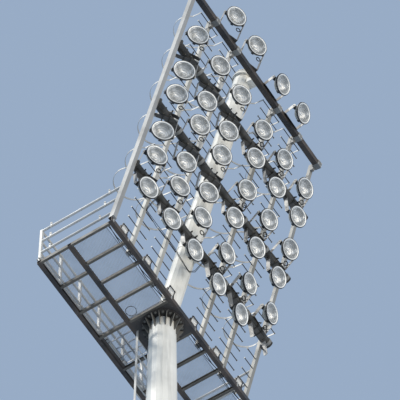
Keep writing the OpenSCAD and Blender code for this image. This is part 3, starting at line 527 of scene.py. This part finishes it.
# copies of one shape at turned places, each with its own shade
def copiesTree():
    tree, new, link = startTree("copiesAtPlaces", "Pieces", {"Places": "Geometry", "Shape": "Object", "Size": "Float",
                                                             "Seed": "Int", "Finish": "Material"})
    start, end = new("NodeGroupInput"), new("NodeGroupOutput")
    shape = new("GeometryNodeObjectInfo")
    turn = new("GeometryNodeInputNamedAttribute")
    turn.data_type = "FLOAT_VECTOR"
    turn.inputs["Name"].default_value = "turn"
    onPoints = new("GeometryNodeInstanceOnPoints")
    shade = new("FunctionNodeRandomValue")
    keep = new("GeometryNodeStoreNamedAttribute")
    keep.domain = "INSTANCE"
    keep.inputs["Name"].default_value = "tone"
    real, paint = new("GeometryNodeRealizeInstances"), new("GeometryNodeSetMaterial")
    for a, b in ((start.outputs["Places"], onPoints.inputs["Points"]), (start.outputs["Shape"], shape.inputs["Object"]),
                 (shape.outputs["Geometry"], onPoints.inputs["Instance"]),
                 (turn.outputs["Attribute"], onPoints.inputs["Rotation"]),
                 (start.outputs["Size"], onPoints.inputs["Scale"]), (start.outputs["Seed"], shade.inputs["Seed"]),
                 (onPoints.outputs["Instances"], keep.inputs["Geometry"]), (shade.outputs[1], keep.inputs["Value"]),
                 (keep.outputs["Geometry"], real.inputs["Geometry"]),
                 (real.outputs["Geometry"], paint.inputs["Geometry"]),
                 (start.outputs["Finish"], paint.inputs["Material"]),
                 (paint.outputs["Geometry"], end.inputs["Pieces"])):
        link(a, b)
    return tree


def grown(tree, mesh, given):  # a mesh through a node tree, as a plain mesh
    holder = bpy.data.objects.new("holder", mesh)
    bpy.context.scene.collection.objects.link(holder)
    modifier = holder.modifiers.new("grown", "NODES")
    modifier.node_group = tree
    for item in tree.interface.items_tree:
        if item.in_out == "INPUT" and item.name in given:
            modifier[item.identifier] = given[item.name]
    depsgraph = bpy.context.evaluated_depsgraph_get()
    result = bpy.data.meshes.new_from_object(holder.evaluated_get(depsgraph), preserve_all_data_layers=True,
                                             depsgraph=depsgraph)
    bpy.data.objects.remove(holder)
    return result


copies = copiesTree()


def copyAtPlaces(name, shape, places, finish, body="pylon", standsFor=(), seed=3):
    mesh = bpy.data.meshes.new(name + "Places")
    mesh.from_pydata([place.translation for place in places], [], [])
    turns = mesh.attributes.new("turn", "FLOAT_VECTOR", "POINT")
    turns.data.foreach_set("vector", [a for place in places for a in place.to_euler("XYZ")])
    result = grown(copies, mesh, {"Shape": shape, "Size": 1.0, "Seed": seed, "Finish": finish})
    result.name = name
    return newPiece(name, result, body, standsFor)


# the round lamps: bowl, rim, dark band, reflector, burner, glass, pivot locks and latches about one pivot, looking
# along Z; the profiles are radius and height from the pivot
lamp = {"rimRadius": 0.214, "front": 0.109, "steps": 56, "fins": 18, "latches": (35, 145, 215, 325), "facets": 22,
        "hammer": 0.0022, "hammerSeed": 11, "burnerHalf": 0.05, "burnerRadius": 0.016, "burnerLift": 0.022,
        "lockFrom": 0.150, "lockTo": 0.2185, "lockRibs": 4}


def bowlShape(c):
    bm = bmesh.new()
    lathe(bm, [(0, -0.0945), (0.028, -0.0945), (0.035, -0.089), (0.036, -0.070), (0.041, -0.0655), (0.060, -0.0625),
               (0.064, -0.056), (0.086, -0.045), (0.118, -0.0255), (0.146, -0.0085), (0.152, -0.0075), (0.1545, -0.001),
               (0.170, 0.018), (0.184, 0.0345), (0.1885, 0.0345), (0.1905, 0.040), (0.196, 0.058), (0.2005, 0.0740),
               (0.2058, 0.0765), (0.2074, 0.0785), (0.2074, 0.0945), (0.2030, 0.0945), (0.1965, 0.0755), (0.190, 0.056),
               (0.178, 0.034), (0.148, -0.001), (0.110, -0.025), (0.060, -0.052), (0, -0.058)],
          c["steps"])
    for k in range(c["fins"]):
        place = Matrix.Rotation(2 * math.pi * (k + 0.5) / c["fins"], 4, "Z")
        prism(bm, [(0.066, -0.057), (0.146, -0.009), (0.140, -0.018), (0.070, -0.064)], -0.002, 0.002, place)
    return shapeFrom(bm, "bowlShape")


def rimShape(c):
    r, z = c["rimRadius"], c["front"]
    bm = bmesh.new()
    lathe(bm, [(r - 0.0340, z - 0.017), (r - 0.0340, z - 0.0085), (r - 0.0325, z - 0.0070), (r - 0.0155, z - 0.0004),
               (r - 0.0135, z), (r - 0.0125, z - 0.0015), (r - 0.0125, z - 0.017)], c["steps"], closed=True)
    return shapeFrom(bm, "rimShape", 50)


def bandShape(c):
    r, z = c["rimRadius"], c["front"]
    bm = bmesh.new()
    lathe(bm, [(r - 0.0123, z - 0.0143), (r - 0.0062, z - 0.0143), (r - 0.0062, z - 0.0300), (r - 0.0010, z - 0.0300),
               (r, z - 0.0285), (r, z - 0.0055), (r - 0.0022, z - 0.0020), (r - 0.0123, z - 0.0010)],
          c["steps"], closed=True)
    for angle in c["latches"]:
        place = Matrix.Rotation(math.radians(angle), 4, "Z") @ Matrix.Translation((r - 0.001, 0, z - 0.024))
        block(bm, (-0.004, -0.010, -0.012), (0.004, 0.010, 0.019), place, 0.85)
    block(bm, (-0.028, -0.2065, 0.030), (0.028, -0.180, 0.072), None, 0.9)   # hinge block under the bowl
    return shapeFrom(bm, "bandShape", 50)


def dishShape(c):   # a hammered face and its back, joined round the edge
    draws = random.Random(c["hammerSeed"])
    face = [(0.1798, 0.0925), (0.1775, 0.0780), (0.1690, 0.0730), (0.1660, 0.0480), (0.1430, 0.0200), (0.1120, -0.0040),
            (0.0760, -0.0210), (0.0380, -0.0310)]
    bm = bmesh.new()
    lathe(bm, face + [(0, -0.033)], c["facets"], jitter=c["hammer"], draws=draws)
    lathe(bm, [(r + 0.0006, z - 0.0045) for r, z in face] + [(0, -0.0375)], c["facets"])
    bm.verts.ensure_lookup_table()
    n = c["facets"]
    back = len(face) * n + 1
    for k in range(n):
        bm.faces.new((bm.verts[k], bm.verts[(k + 1) % n], bm.verts[back + (k + 1) % n], bm.verts[back + k]))
    return shapeFrom(bm, "dishShape", 0)


def burnerShape(c):
    bm = bmesh.new()
    r, half, lift = c["burnerRadius"], c["burnerHalf"], c["burnerLift"]
    lathe(bm, [(0, -half), (r * 0.5, -half), (r * 0.55, -half * 0.75), (r, -half * 0.55), (r * 1.08, 0),
               (r, half * 0.55), (r * 0.55, half * 0.75), (r * 0.5, half), (0, half)], 16)
    moveNew(bm, Matrix.Translation((0, 0, lift)) @ Matrix.Rotation(math.pi / 2, 4, "Y"))
    for side in (-1, 1):
        stem = [(side * (half + 0.002), 0, lift), (side * (half + 0.012), 0, 0.012), (side * (half + 0.014), 0, -0.029)]
        tubeAlong(bm, stem, 0.004, 8)
    return shapeFrom(bm, "burnerShape")


def paneShape(c):
    bm = bmesh.new()
    edge = c["rimRadius"] - 0.0338
    lathe(bm, [(0, 0.1060), (edge * 0.35, 0.1055), (edge * 0.7, 0.1035), (edge, 0.1000), (edge, 0.0965),
               (edge * 0.7, 0.0998), (edge * 0.35, 0.1018), (0, 0.1023)], c["steps"])
    return shapeFrom(bm, "paneShape")


def lockShape(c):
    bm = bmesh.new()
    for side in (-1, 1):
        low, high = sorted((side * c["lockFrom"], side * c["lockTo"]))
        prism(bm, [(-0.034, -0.020), (0.030, -0.030), (0.040, 0.004), (0.016, 0.034), (-0.026, 0.022)], low, high)
        for k in range(c["lockRibs"]):
            y = -0.022 + k * 0.015
            block(bm, (min(side * 0.16, side * 0.21), y, -0.0335), (max(side * 0.16, side * 0.21), y + 0.004, -0.02))
    return shapeFrom(bm, "lockShape", 30)


def pivotShape():
    bm = bmesh.new()
    for side in (-1, 1):
        turn = Matrix.Translation((side * mast["pivotX"], 0, 0)) @ Matrix.Rotation(side * math.pi / 2, 4, "Y")
        before = set(bm.verts)
        lathe(bm, [(0, 0), (0.021, 0), (0.021, 0.003), (0, 0.003)], 20)
        lathe(bm, [(0, 0.003), (0.0155, 0.003), (0.0155, 0.0125), (0.012, 0.0145), (0, 0.0145)], 6)
        moveNew(bm, turn, before)
    return shapeFrom(bm, "pivotShape", 30)


# two U-bolts round the tube at each yoke, with their plates and nuts, about the tube's axis
clamp = {"apart": 0.062, "gap": 0.0065, "rod": 0.005, "bends": 14, "ends": 0.018, "nutRadius": 0.01, "nutHeight": 0.007}


def clampShape(c):
    bm = bmesh.new()
    r = mast["tubeRadius"] + c["gap"]
    top = mast["tubeRadius"] + mast["strapThickness"]
    turns = [-math.pi * k / c["bends"] for k in range(c["bends"] + 1)]
    for x in (-c["apart"], c["apart"]):
        arc = [(x, r * math.cos(a), r * math.sin(a)) for a in turns]
        tubeAlong(bm, [(x, r, top + c["ends"])] + arc + [(x, -r, top + c["ends"])], c["rod"], 8)
        for y in (-r, r):
            before = set(bm.verts)
            lathe(bm, [(0, 0), (c["nutRadius"], 0), (c["nutRadius"], c["nutHeight"]), (0, c["nutHeight"])], 6)
            moveNew(bm, Matrix.Translation((x, y, top + 0.0085)), before)
        block(bm, (x - 0.013, -r - 0.011, top + 0.0005), (x + 0.013, r + 0.011, top + 0.0080), None, 0.96)
    return shapeFrom(bm, "clampShape", 40)


lampParts = [("Bowls", bowlShape(lamp), bowlCast, "lamp_bowl"),
             ("Rims", rimShape(lamp), rimAluminium, "lamp_bowl"),
             ("Bands", bandShape(lamp), darkBand, "flood_case"),
             ("Dishes", dishShape(lamp), reflectorAluminium, "lamp_bowl"),
             ("Burners", burnerShape(lamp), burnerGlass, "box_white"),
             ("Panes", paneShape(lamp), frontGlass, "lamp_bowl"),
             ("Locks", lockShape(lamp), lockBlack, "flood_case"),
             ("PivotBolts", pivotShape(), railZinc, "galvanised")]
for level, rows in lampRows.items():
    seats = [(row, column) for row in rows for column in row.get("columns", range(6))]
    places = [lampPlace(row, column) for row, column in seats if row.get("empty") != column]
    for part, shape, finish, slotName in lampParts:
        copyAtPlaces(level + part, shape, places, finish,
                     standsFor=(level + "_lamps",) if part == "Bowls" else (), seed=len(level))
    if level != "top":
        copyAtPlaces(level + "YokeClamps", clampShape(clamp), [yokePlace(*seat) for seat in seats], tubePaint)

# each lamp's lead in a loop beside its yoke's arm: thicker than in the CAD, as it reads in the photograph, and with
# the same outer edge
lead = {"loop": 0.042, "radius": 0.009, "x": 0.1697, "across": mast["strapWidth"] / 3, "below": 0.175}


def leadLoop(c):
    bm = bmesh.new()
    turns = [2 * math.pi * k / 12 for k in range(12)]
    lathe(bm, [(c["loop"] + c["radius"] * math.cos(a), c["radius"] * math.sin(a)) for a in turns], 40, closed=True)
    return shapeFrom(bm, "leadLoop", 60)


def leadPlace(row, column):
    spot = (lead["x"], row["way"] * lead["across"], row["pivot"][0 if column < 3 else 1] - lead["below"])
    return yokePlace(row, column) @ Matrix.Translation(spot) @ Matrix.Rotation(math.pi / 2, 4, "X")


leadPlaces = [leadPlace(row, column) for level, rows in lampRows.items() for row in rows
              for column in ((1, 2) if level == "top" else range(6))]
copyAtPlaces("leadLoops", leadLoop(lead), leadPlaces, cableRubber, standsFor=("lamp_leads",))
print("lamps made")


# the small rectangular floods along the front beam: tapered finned case, front frame, tray, tube and pane, facing -Y
flood = {"width": 0.175, "height": 0.145, "lift": 32.11, "y": -0.390, "pitch": 25, "fins": 8, "tubeHalf": 0.052,
         "tubeRadius": 0.005, "tubeBack": -0.004}


def loft(bm, rings):   # rectangles (half width, half height, y) joined front to back and closed at both ends
    made = [[bm.verts.new((x * w, y, z * h)) for x, z in ((-1, -1), (1, -1), (1, 1), (-1, 1))] for w, h, y in rings]
    for a, b in zip(made, made[1:]):
        for k in range(4):
            bm.faces.new((a[k], a[(k + 1) % 4], b[(k + 1) % 4], b[k]))
    bm.faces.new(made[0][::-1])
    bm.faces.new(made[-1])


def floodCase(c):
    bm = bmesh.new()
    w, h = c["width"] / 2, c["height"] / 2
    loft(bm, [(w * 0.75, h * 0.72, 0.020), (w - 0.006, h - 0.006, -0.016), (w - 0.012, h - 0.012, -0.016),
              (w * 0.70, h * 0.66, 0.0145)])
    for k in range(c["fins"]):
        x = -0.056 + k * 0.112 / (c["fins"] - 1)
        block(bm, (x - 0.0015, 0.018, -0.045), (x + 0.0015, 0.030, 0.045))
    for side in (-1, 1):
        block(bm, (side * w - 0.010, -0.012, -0.014), (side * w + 0.003, 0.012, 0.014))
    return shapeFrom(bm, "floodCase", 30)


def floodFrame(c):
    bm = bmesh.new()
    w, h = c["width"] / 2, c["height"] / 2
    for x0, x1, z0, z1 in ((-w, w, h - 0.014, h), (-w, w, -h, -h + 0.014), (-w, -w + 0.014, -h + 0.014, h - 0.014),
                           (w - 0.014, w, -h + 0.014, h - 0.014)):
        block(bm, (x0, -0.030, z0), (x1, -0.014, z1))
    for x in (-w + 0.02, w - 0.02):
        block(bm, (x - 0.008, -0.0315, h - 0.02), (x + 0.008, -0.012, h + 0.004))
    return shapeFrom(bm, "floodFrame", 30)


def floodTray(c):
    bm = bmesh.new()
    w, h = c["width"] / 2 - 0.0145, c["height"] / 2 - 0.0145
    inner = [(1.0, -0.0190), (0.92, -0.0060), (0.72, 0.0050), (0.40, 0.0110)]
    outer = [(w * k - 0.001, h * k - 0.001, y) for k, y in inner[::-1]]
    loft(bm, outer + [(w * k, h * k, y + 0.0012) for k, y in inner])
    return shapeFrom(bm, "floodTray", 25)


def floodPane(c):
    bm = bmesh.new()
    w, h = c["width"] / 2 - 0.012, c["height"] / 2 - 0.012
    block(bm, (-w, -0.0255, -h), (w, -0.0225, h))
    bmesh.ops.bevel(bm, geom=bm.edges[:], offset=0.0008, segments=1, affect="EDGES")
    return shapeFrom(bm, "floodPane", 30)


def floodTube(c):
    bm = bmesh.new()
    r, half = c["tubeRadius"], c["tubeHalf"]
    lathe(bm, [(0, -half), (0.0035, -half), (r, -half + 0.008), (r, half - 0.008), (0.0035, half), (0, half)], 12)
    moveNew(bm, Matrix.Translation((0, c["tubeBack"], 0)) @ Matrix.Rotation(math.pi / 2, 4, "Y"))
    return shapeFrom(bm, "floodTube")


floodPlaces = [Matrix.Translation(((k - 2.5) * mast["bay"], flood["y"], flood["lift"]))
               @ Matrix.Rotation(math.radians(flood["pitch"]), 4, "X") for k in range(6)]
copyAtPlaces("floodCases", floodCase(flood), floodPlaces, lockBlack, standsFor=("small_floods",))
copyAtPlaces("floodFrames", floodFrame(flood), floodPlaces, darkBand)
copyAtPlaces("floodTrays", floodTray(flood), floodPlaces, trayWhite)
copyAtPlaces("floodTubes", floodTube(flood), floodPlaces, burnerGlass)
copyAtPlaces("floodPanes", floodPane(flood), floodPlaces, frontGlass)
print("small floods made")


# the decks' expanded metal: two crossed strands at every knot of a staggered grid, in a thin border
deck = {"long": 0.062, "short": 0.026, "strand": 0.0040, "thick": 0.0028, "border": 0.012, "z": 31.8870,
        "hatchZ": 31.901, "hatchPanel": (-0.342, 0.342, 0.511, 0.955),
        "frontY": (-0.2475, 0.459), "rearY": (0.461, 1.0535), "frontX": (0.4005, 0.829, 1.280, 1.731, 2.156),
        "rearX": (0.4005, 0.9793, 1.5807, 2.156)}


def expandedTree():
    tree, new, link = startTree("expandedMetal", "Sheet", {
        "Panel": "Geometry", "Columns": "Int", "Rows": "Int", "Long way": "Float", "Short way": "Float",
        "Strand width": "Float", "Strand thickness": "Float", "Finish": "Material"})
    start, end = new("NodeGroupInput"), new("NodeGroupOutput")

    def sums(operation, a, b):
        node = new("ShaderNodeMath")
        node.operation = operation
        feed(node.inputs[0], a)
        feed(node.inputs[1], b)
        return node.outputs[0]

    longWay, shortWay = start.outputs["Long way"], start.outputs["Short way"]
    half = sums("MULTIPLY", longWay, 0.5), sums("MULTIPLY", shortWay, 0.5)
    length = sums("SQRT", sums("ADD", sums("MULTIPLY", half[0], half[0]), sums("MULTIPLY", half[1], half[1])), 0.0)
    slope = sums("ARCTAN2", shortWay, longWay)
    size = new("ShaderNodeCombineXYZ")
    for a, b in ((length, 0), (start.outputs["Strand width"], 1), (start.outputs["Strand thickness"], 2)):
        link(a, size.inputs[b])
    cube = new("GeometryNodeMeshCube")
    link(size.outputs[0], cube.inputs["Size"])
    joinStrands, joinKnots = new("GeometryNodeJoinGeometry"), new("GeometryNodeJoinGeometry")
    for sign in (1, -1):
        move, turn = new("ShaderNodeCombineXYZ"), new("ShaderNodeCombineXYZ")
        link(sums("MULTIPLY", half[0], 0.5), move.inputs[0])
        link(sums("MULTIPLY", half[1], 0.5 * sign), move.inputs[1])
        link(sums("MULTIPLY", slope, sign), turn.inputs[2])
        place = new("GeometryNodeTransform")
        link(cube.outputs["Mesh"], place.inputs["Geometry"])
        link(move.outputs[0], place.inputs["Translation"])
        link(turn.outputs[0], place.inputs["Rotation"])
        link(place.outputs["Geometry"], joinStrands.inputs["Geometry"])
    for shift in (0, 1):
        across = sums("SUBTRACT", start.outputs["Columns"], shift)
        along = sums("SUBTRACT", start.outputs["Rows"], shift)
        grid = new("GeometryNodeMeshGrid")
        link(sums("MULTIPLY", sums("SUBTRACT", across, 1), longWay), grid.inputs["Size X"])
        link(sums("MULTIPLY", sums("SUBTRACT", along, 1), shortWay), grid.inputs["Size Y"])
        link(across, grid.inputs["Vertices X"])
        link(along, grid.inputs["Vertices Y"])
        link(grid.outputs["Mesh"], joinKnots.inputs["Geometry"])
    onPoints = new("GeometryNodeInstanceOnPoints")
    real, paint = new("GeometryNodeRealizeInstances"), new("GeometryNodeSetMaterial")
    for a, b in ((joinKnots.outputs[0], onPoints.inputs["Points"]),
                 (joinStrands.outputs[0], onPoints.inputs["Instance"]),
                 (onPoints.outputs[0], real.inputs[0]), (real.outputs[0], paint.inputs["Geometry"]),
                 (start.outputs["Finish"], paint.inputs["Material"]), (paint.outputs[0], end.inputs[0])):
        link(a, b)
    return tree


expanded = expandedTree()


# one sheet of panels (x from, x to, y from, y to), each with a whole number of openings both ways
def deckSheet(name, panels, z, finish, body="pylon", standsFor=(), border=None):
    whole = bmesh.new()
    for x0, x1, y0, y1 in panels:
        columns = max(2, round((x1 - x0) / deck["long"]))
        rows = max(2, round((y1 - y0) / deck["short"]))
        longWay, shortWay = (x1 - x0) / columns, (y1 - y0) / rows
        part = grown(expanded, bpy.data.meshes.new("panel"), {
            "Columns": columns, "Rows": rows, "Long way": longWay, "Short way": shortWay,
            "Strand width": deck["strand"], "Strand thickness": deck["thick"], "Finish": finish})
        part.transform(Matrix.Translation(((x0 + x1) / 2 - longWay / 4, (y0 + y1) / 2, z)))
        whole.from_mesh(part)
        if border:
            for low, high in (((x0, y0), (x1, y0 + border)), ((x0, y1 - border), (x1, y1)),
                              ((x0, y0 + border), (x0 + border, y1 - border)),
                              ((x1 - border, y0 + border), (x1, y1 - border))):
                block(whole, (*low, z - 0.0045), (*high, z - 0.0005))
    mesh = bpy.data.meshes.new(name)
    whole.to_mesh(mesh)
    whole.free()
    mesh.materials.clear()
    mesh.materials.append(finish)
    return newPiece(name, mesh, body, standsFor)


def bothSides(edges, ys):
    spans = [(a + 0.002, b - 0.002) for a, b in zip(edges, edges[1:])]
    return [(a, b, *ys) for a, b in spans] + [(-b, -a, *ys) for a, b in spans]


deckSheet("frontDeckSheets", bothSides(deck["frontX"], deck["frontY"]), deck["z"], deckZinc,
          standsFor=("front_deck",), border=deck["border"])
deckSheet("rearDeckSheets", bothSides(deck["rearX"], deck["rearY"]), deck["z"], deckZinc,
          standsFor=("rear_deck",), border=deck["border"])
deckSheet("hatchSheet", [deck["hatchPanel"]], deck["hatchZ"], deckZinc, body="hatch")
print("decks made")


# hexagon bolts with washers, along each joint's own Z
bolt = {"across": 0.024, "head": 0.013, "washer": 0.017}


def boltShape(c):
    bm = bmesh.new()
    r = c["across"] / 2 / math.cos(math.pi / 6)
    lathe(bm, [(0, 0), (c["washer"], 0), (c["washer"], 0.003), (0, 0.003)], 12)
    lathe(bm, [(0, 0.003), (r, 0.003), (r, c["head"]), (0, c["head"])], 6)
    if "stud" in c:
        r, low = c["stud"], c["head"]
        lathe(bm, [(0, low), (r, low), (r, low + 0.024), (r * 0.85, low + 0.028), (0, low + 0.028)], 16)
    return shapeFrom(bm, "boltShape", 30)


def facing(point, direction):
    return Matrix.Translation(point) @ Vector(direction).to_track_quat("Z", "Y").to_matrix().to_4x4()


def onFrame(x, n, u, direction):
    return facing(frameTurn @ Vector((x, n, u)), frameTurn.to_3x3() @ Vector(direction))


def ringOfBolts(radius, height, count):
    turns = [math.radians(360 / count * (k + 0.5)) for k in range(count)]
    return [facing((radius * math.cos(a), radius * math.sin(a), height), (0, 0, 1)) for a in turns]


# on the platform: in the front beam's web and under the climbing posts' feet, and in two rings round the mast
platform = {"frontX": (0.378, 0.829, 1.280, 1.731, 2.182), "rearX": (0.378, 0.9793, 1.5807, 2.182), "webY": -0.4225,
            "webHeights": (0.042, 0.087), "footHeight": 0.152, "footY": (-0.402, -0.325), "rearPostY": 1.083,
            "flangeRing": (0.334, 0.025, 16), "stubRing": (0.245, 0.050, 12)}
frontX = [s * x for x in platform["frontX"] for s in (-1, 1)]
rearX = [s * x for x in platform["rearX"] for s in (-1, 1)]
beamBolts = [facing((x, platform["webY"], mast["deckZ"] + h), (0, -1, 0)) for x in frontX
             for h in platform["webHeights"]]
beamBolts += [facing((x + dx, y, mast["deckZ"] + platform["footHeight"]), (0, 0, 1)) for x in mast["climbX"]
              for dx in (-0.03, 0.03) for y in platform["footY"]]
for radius, height, count in (platform["flangeRing"], platform["stubRing"]):
    beamBolts += ringOfBolts(radius, mast["deckZ"] + height, count)

# on the lamp frame: in the post clamps, on the top beam's face, and in the saddles at the head pole's sides
frameBolt = {"clampN": 0.104, "beamN": -0.067, "beamOff": 0.042, "saddleX": 0.09, "saddleN": 0.11, "off": 0.05}
postX = (*mast["climbX"], 2.17)
frameBolts = [onFrame(x, frameBolt["clampN"], u + s * frameBolt["off"], (0, 0, s)) for x in postX
              for u in mast["tubeHeights"] for s in (-1, 1)]
frameBolts += [onFrame(x + i * frameBolt["beamOff"], frameBolt["beamN"], mast["topHeight"] + j * frameBolt["beamOff"],
                       (0, -1, 0)) for x in postX for i in (-1, 1) for j in (-1, 1)]
frameBolts += [onFrame(s * frameBolt["saddleX"], frameBolt["saddleN"], u + j * frameBolt["off"], (s, 0, 0))
               for s in (-1, 1) for u in mast["tubeHeights"] for j in (-1, 1)]

# on the end rails' clamp plates and in the toe board
rail = {"heights": (1.110, 0.758, 0.367), "radius": 0.023, "reach": {-1: 0.045, 1: 0.191}, "gap": 0.0003,
        "face": 2.2133, "postHalf": 0.0233, "plateFromFrame": 0.25, "plateFromPost": 0.19, "boltOff": 0.05}
toeBoard = {"face": 1.0550, "boltHeights": (0.140, 0.190), "bracketHeight": 0.105}
slope = math.radians(mast["lean"])
railBolts = []
for side, reach in rail["reach"].items():
    for h in rail["heights"]:
        start = mast["footY"] - (h - rail["radius"]) * math.tan(slope) + reach / math.cos(slope) + rail["gap"]
        end = platform["rearPostY"] - rail["postHalf"]
        for y in (start + rail["plateFromFrame"], end - rail["plateFromPost"]):
            railBolts += [facing((side * rail["face"], y, mast["deckZ"] + h + s * rail["boltOff"]), (side, 0, 0))
                          for s in (-1, 1)]
railBolts += [facing((x, toeBoard["face"], mast["deckZ"] + h), (0, -1, 0)) for x in rearX
              for h in toeBoard["boltHeights"]]


def toeBracket():   # a short angle across the foot of a rear post, carrying the toe board
    bm = bmesh.new()
    block(bm, (-0.055, -0.0280, -0.016), (0.055, -0.0232, 0.016))
    block(bm, (-0.055, -0.0280, 0.016), (0.055, 0.0, 0.0205))
    block(bm, (-0.055, 0.0232, -0.016), (0.055, 0.0280, 0.016))
    return shapeFrom(bm, "toeBracket", 30)


bracketPlaces = [Matrix.Translation((x, platform["rearPostY"], mast["deckZ"] + toeBoard["bracketHeight"]))
                 for x in rearX]
copyAtPlaces("toeBrackets", toeBracket(), bracketPlaces, clampZinc)

# the nuts on the anchor studs, on the base flange
anchor = {"ring": (0.686, 0.050, 16), "across": 0.056, "head": 0.034, "washer": 0.040, "stud": 0.018}
copyAtPlaces("anchorNuts", boltShape(anchor), ringOfBolts(*anchor["ring"]), railZinc)

# a bolted pair of rings round the head pole, just above the top beam
headRing = {"n": 0.3598, "u": 7.505, "inner": 0.1797, "outer": 0.220, "thickness": 0.014, "bolts": 12,
            "boltCircle": 0.2, "gap": 0.001}


def headRings(c):
    bm = bmesh.new()
    for low in (0, c["thickness"] + c["gap"]):
        top = low + c["thickness"]
        lathe(bm, [(c["inner"], low), (c["outer"], low), (c["outer"], top), (c["inner"], top)], 64, closed=True)
    return shapeFrom(bm, "headRings", 30)


ringPlace = frameTurn @ Matrix.Translation((0, headRing["n"], headRing["u"]))
copyAtPlaces("headRings", headRings(headRing), [ringPlace], mastZinc)
ringsTop = 2 * headRing["thickness"] + headRing["gap"]
for k in range(headRing["bolts"]):
    turn = 2 * math.pi * (k + 0.5) / headRing["bolts"]
    x, n = headRing["boltCircle"] * math.cos(turn), headRing["n"] + headRing["boltCircle"] * math.sin(turn)
    frameBolts += [onFrame(x, n, headRing["u"] + lift, (0, 0, s)) for lift, s in ((0, -1), (ringsTop, 1))]
for name, places in (("platformBolts", beamBolts), ("frameBolts", frameBolts), ("railBolts", railBolts)):
    copyAtPlaces(name, boltShape(bolt), places, railZinc)
print("bolts made")
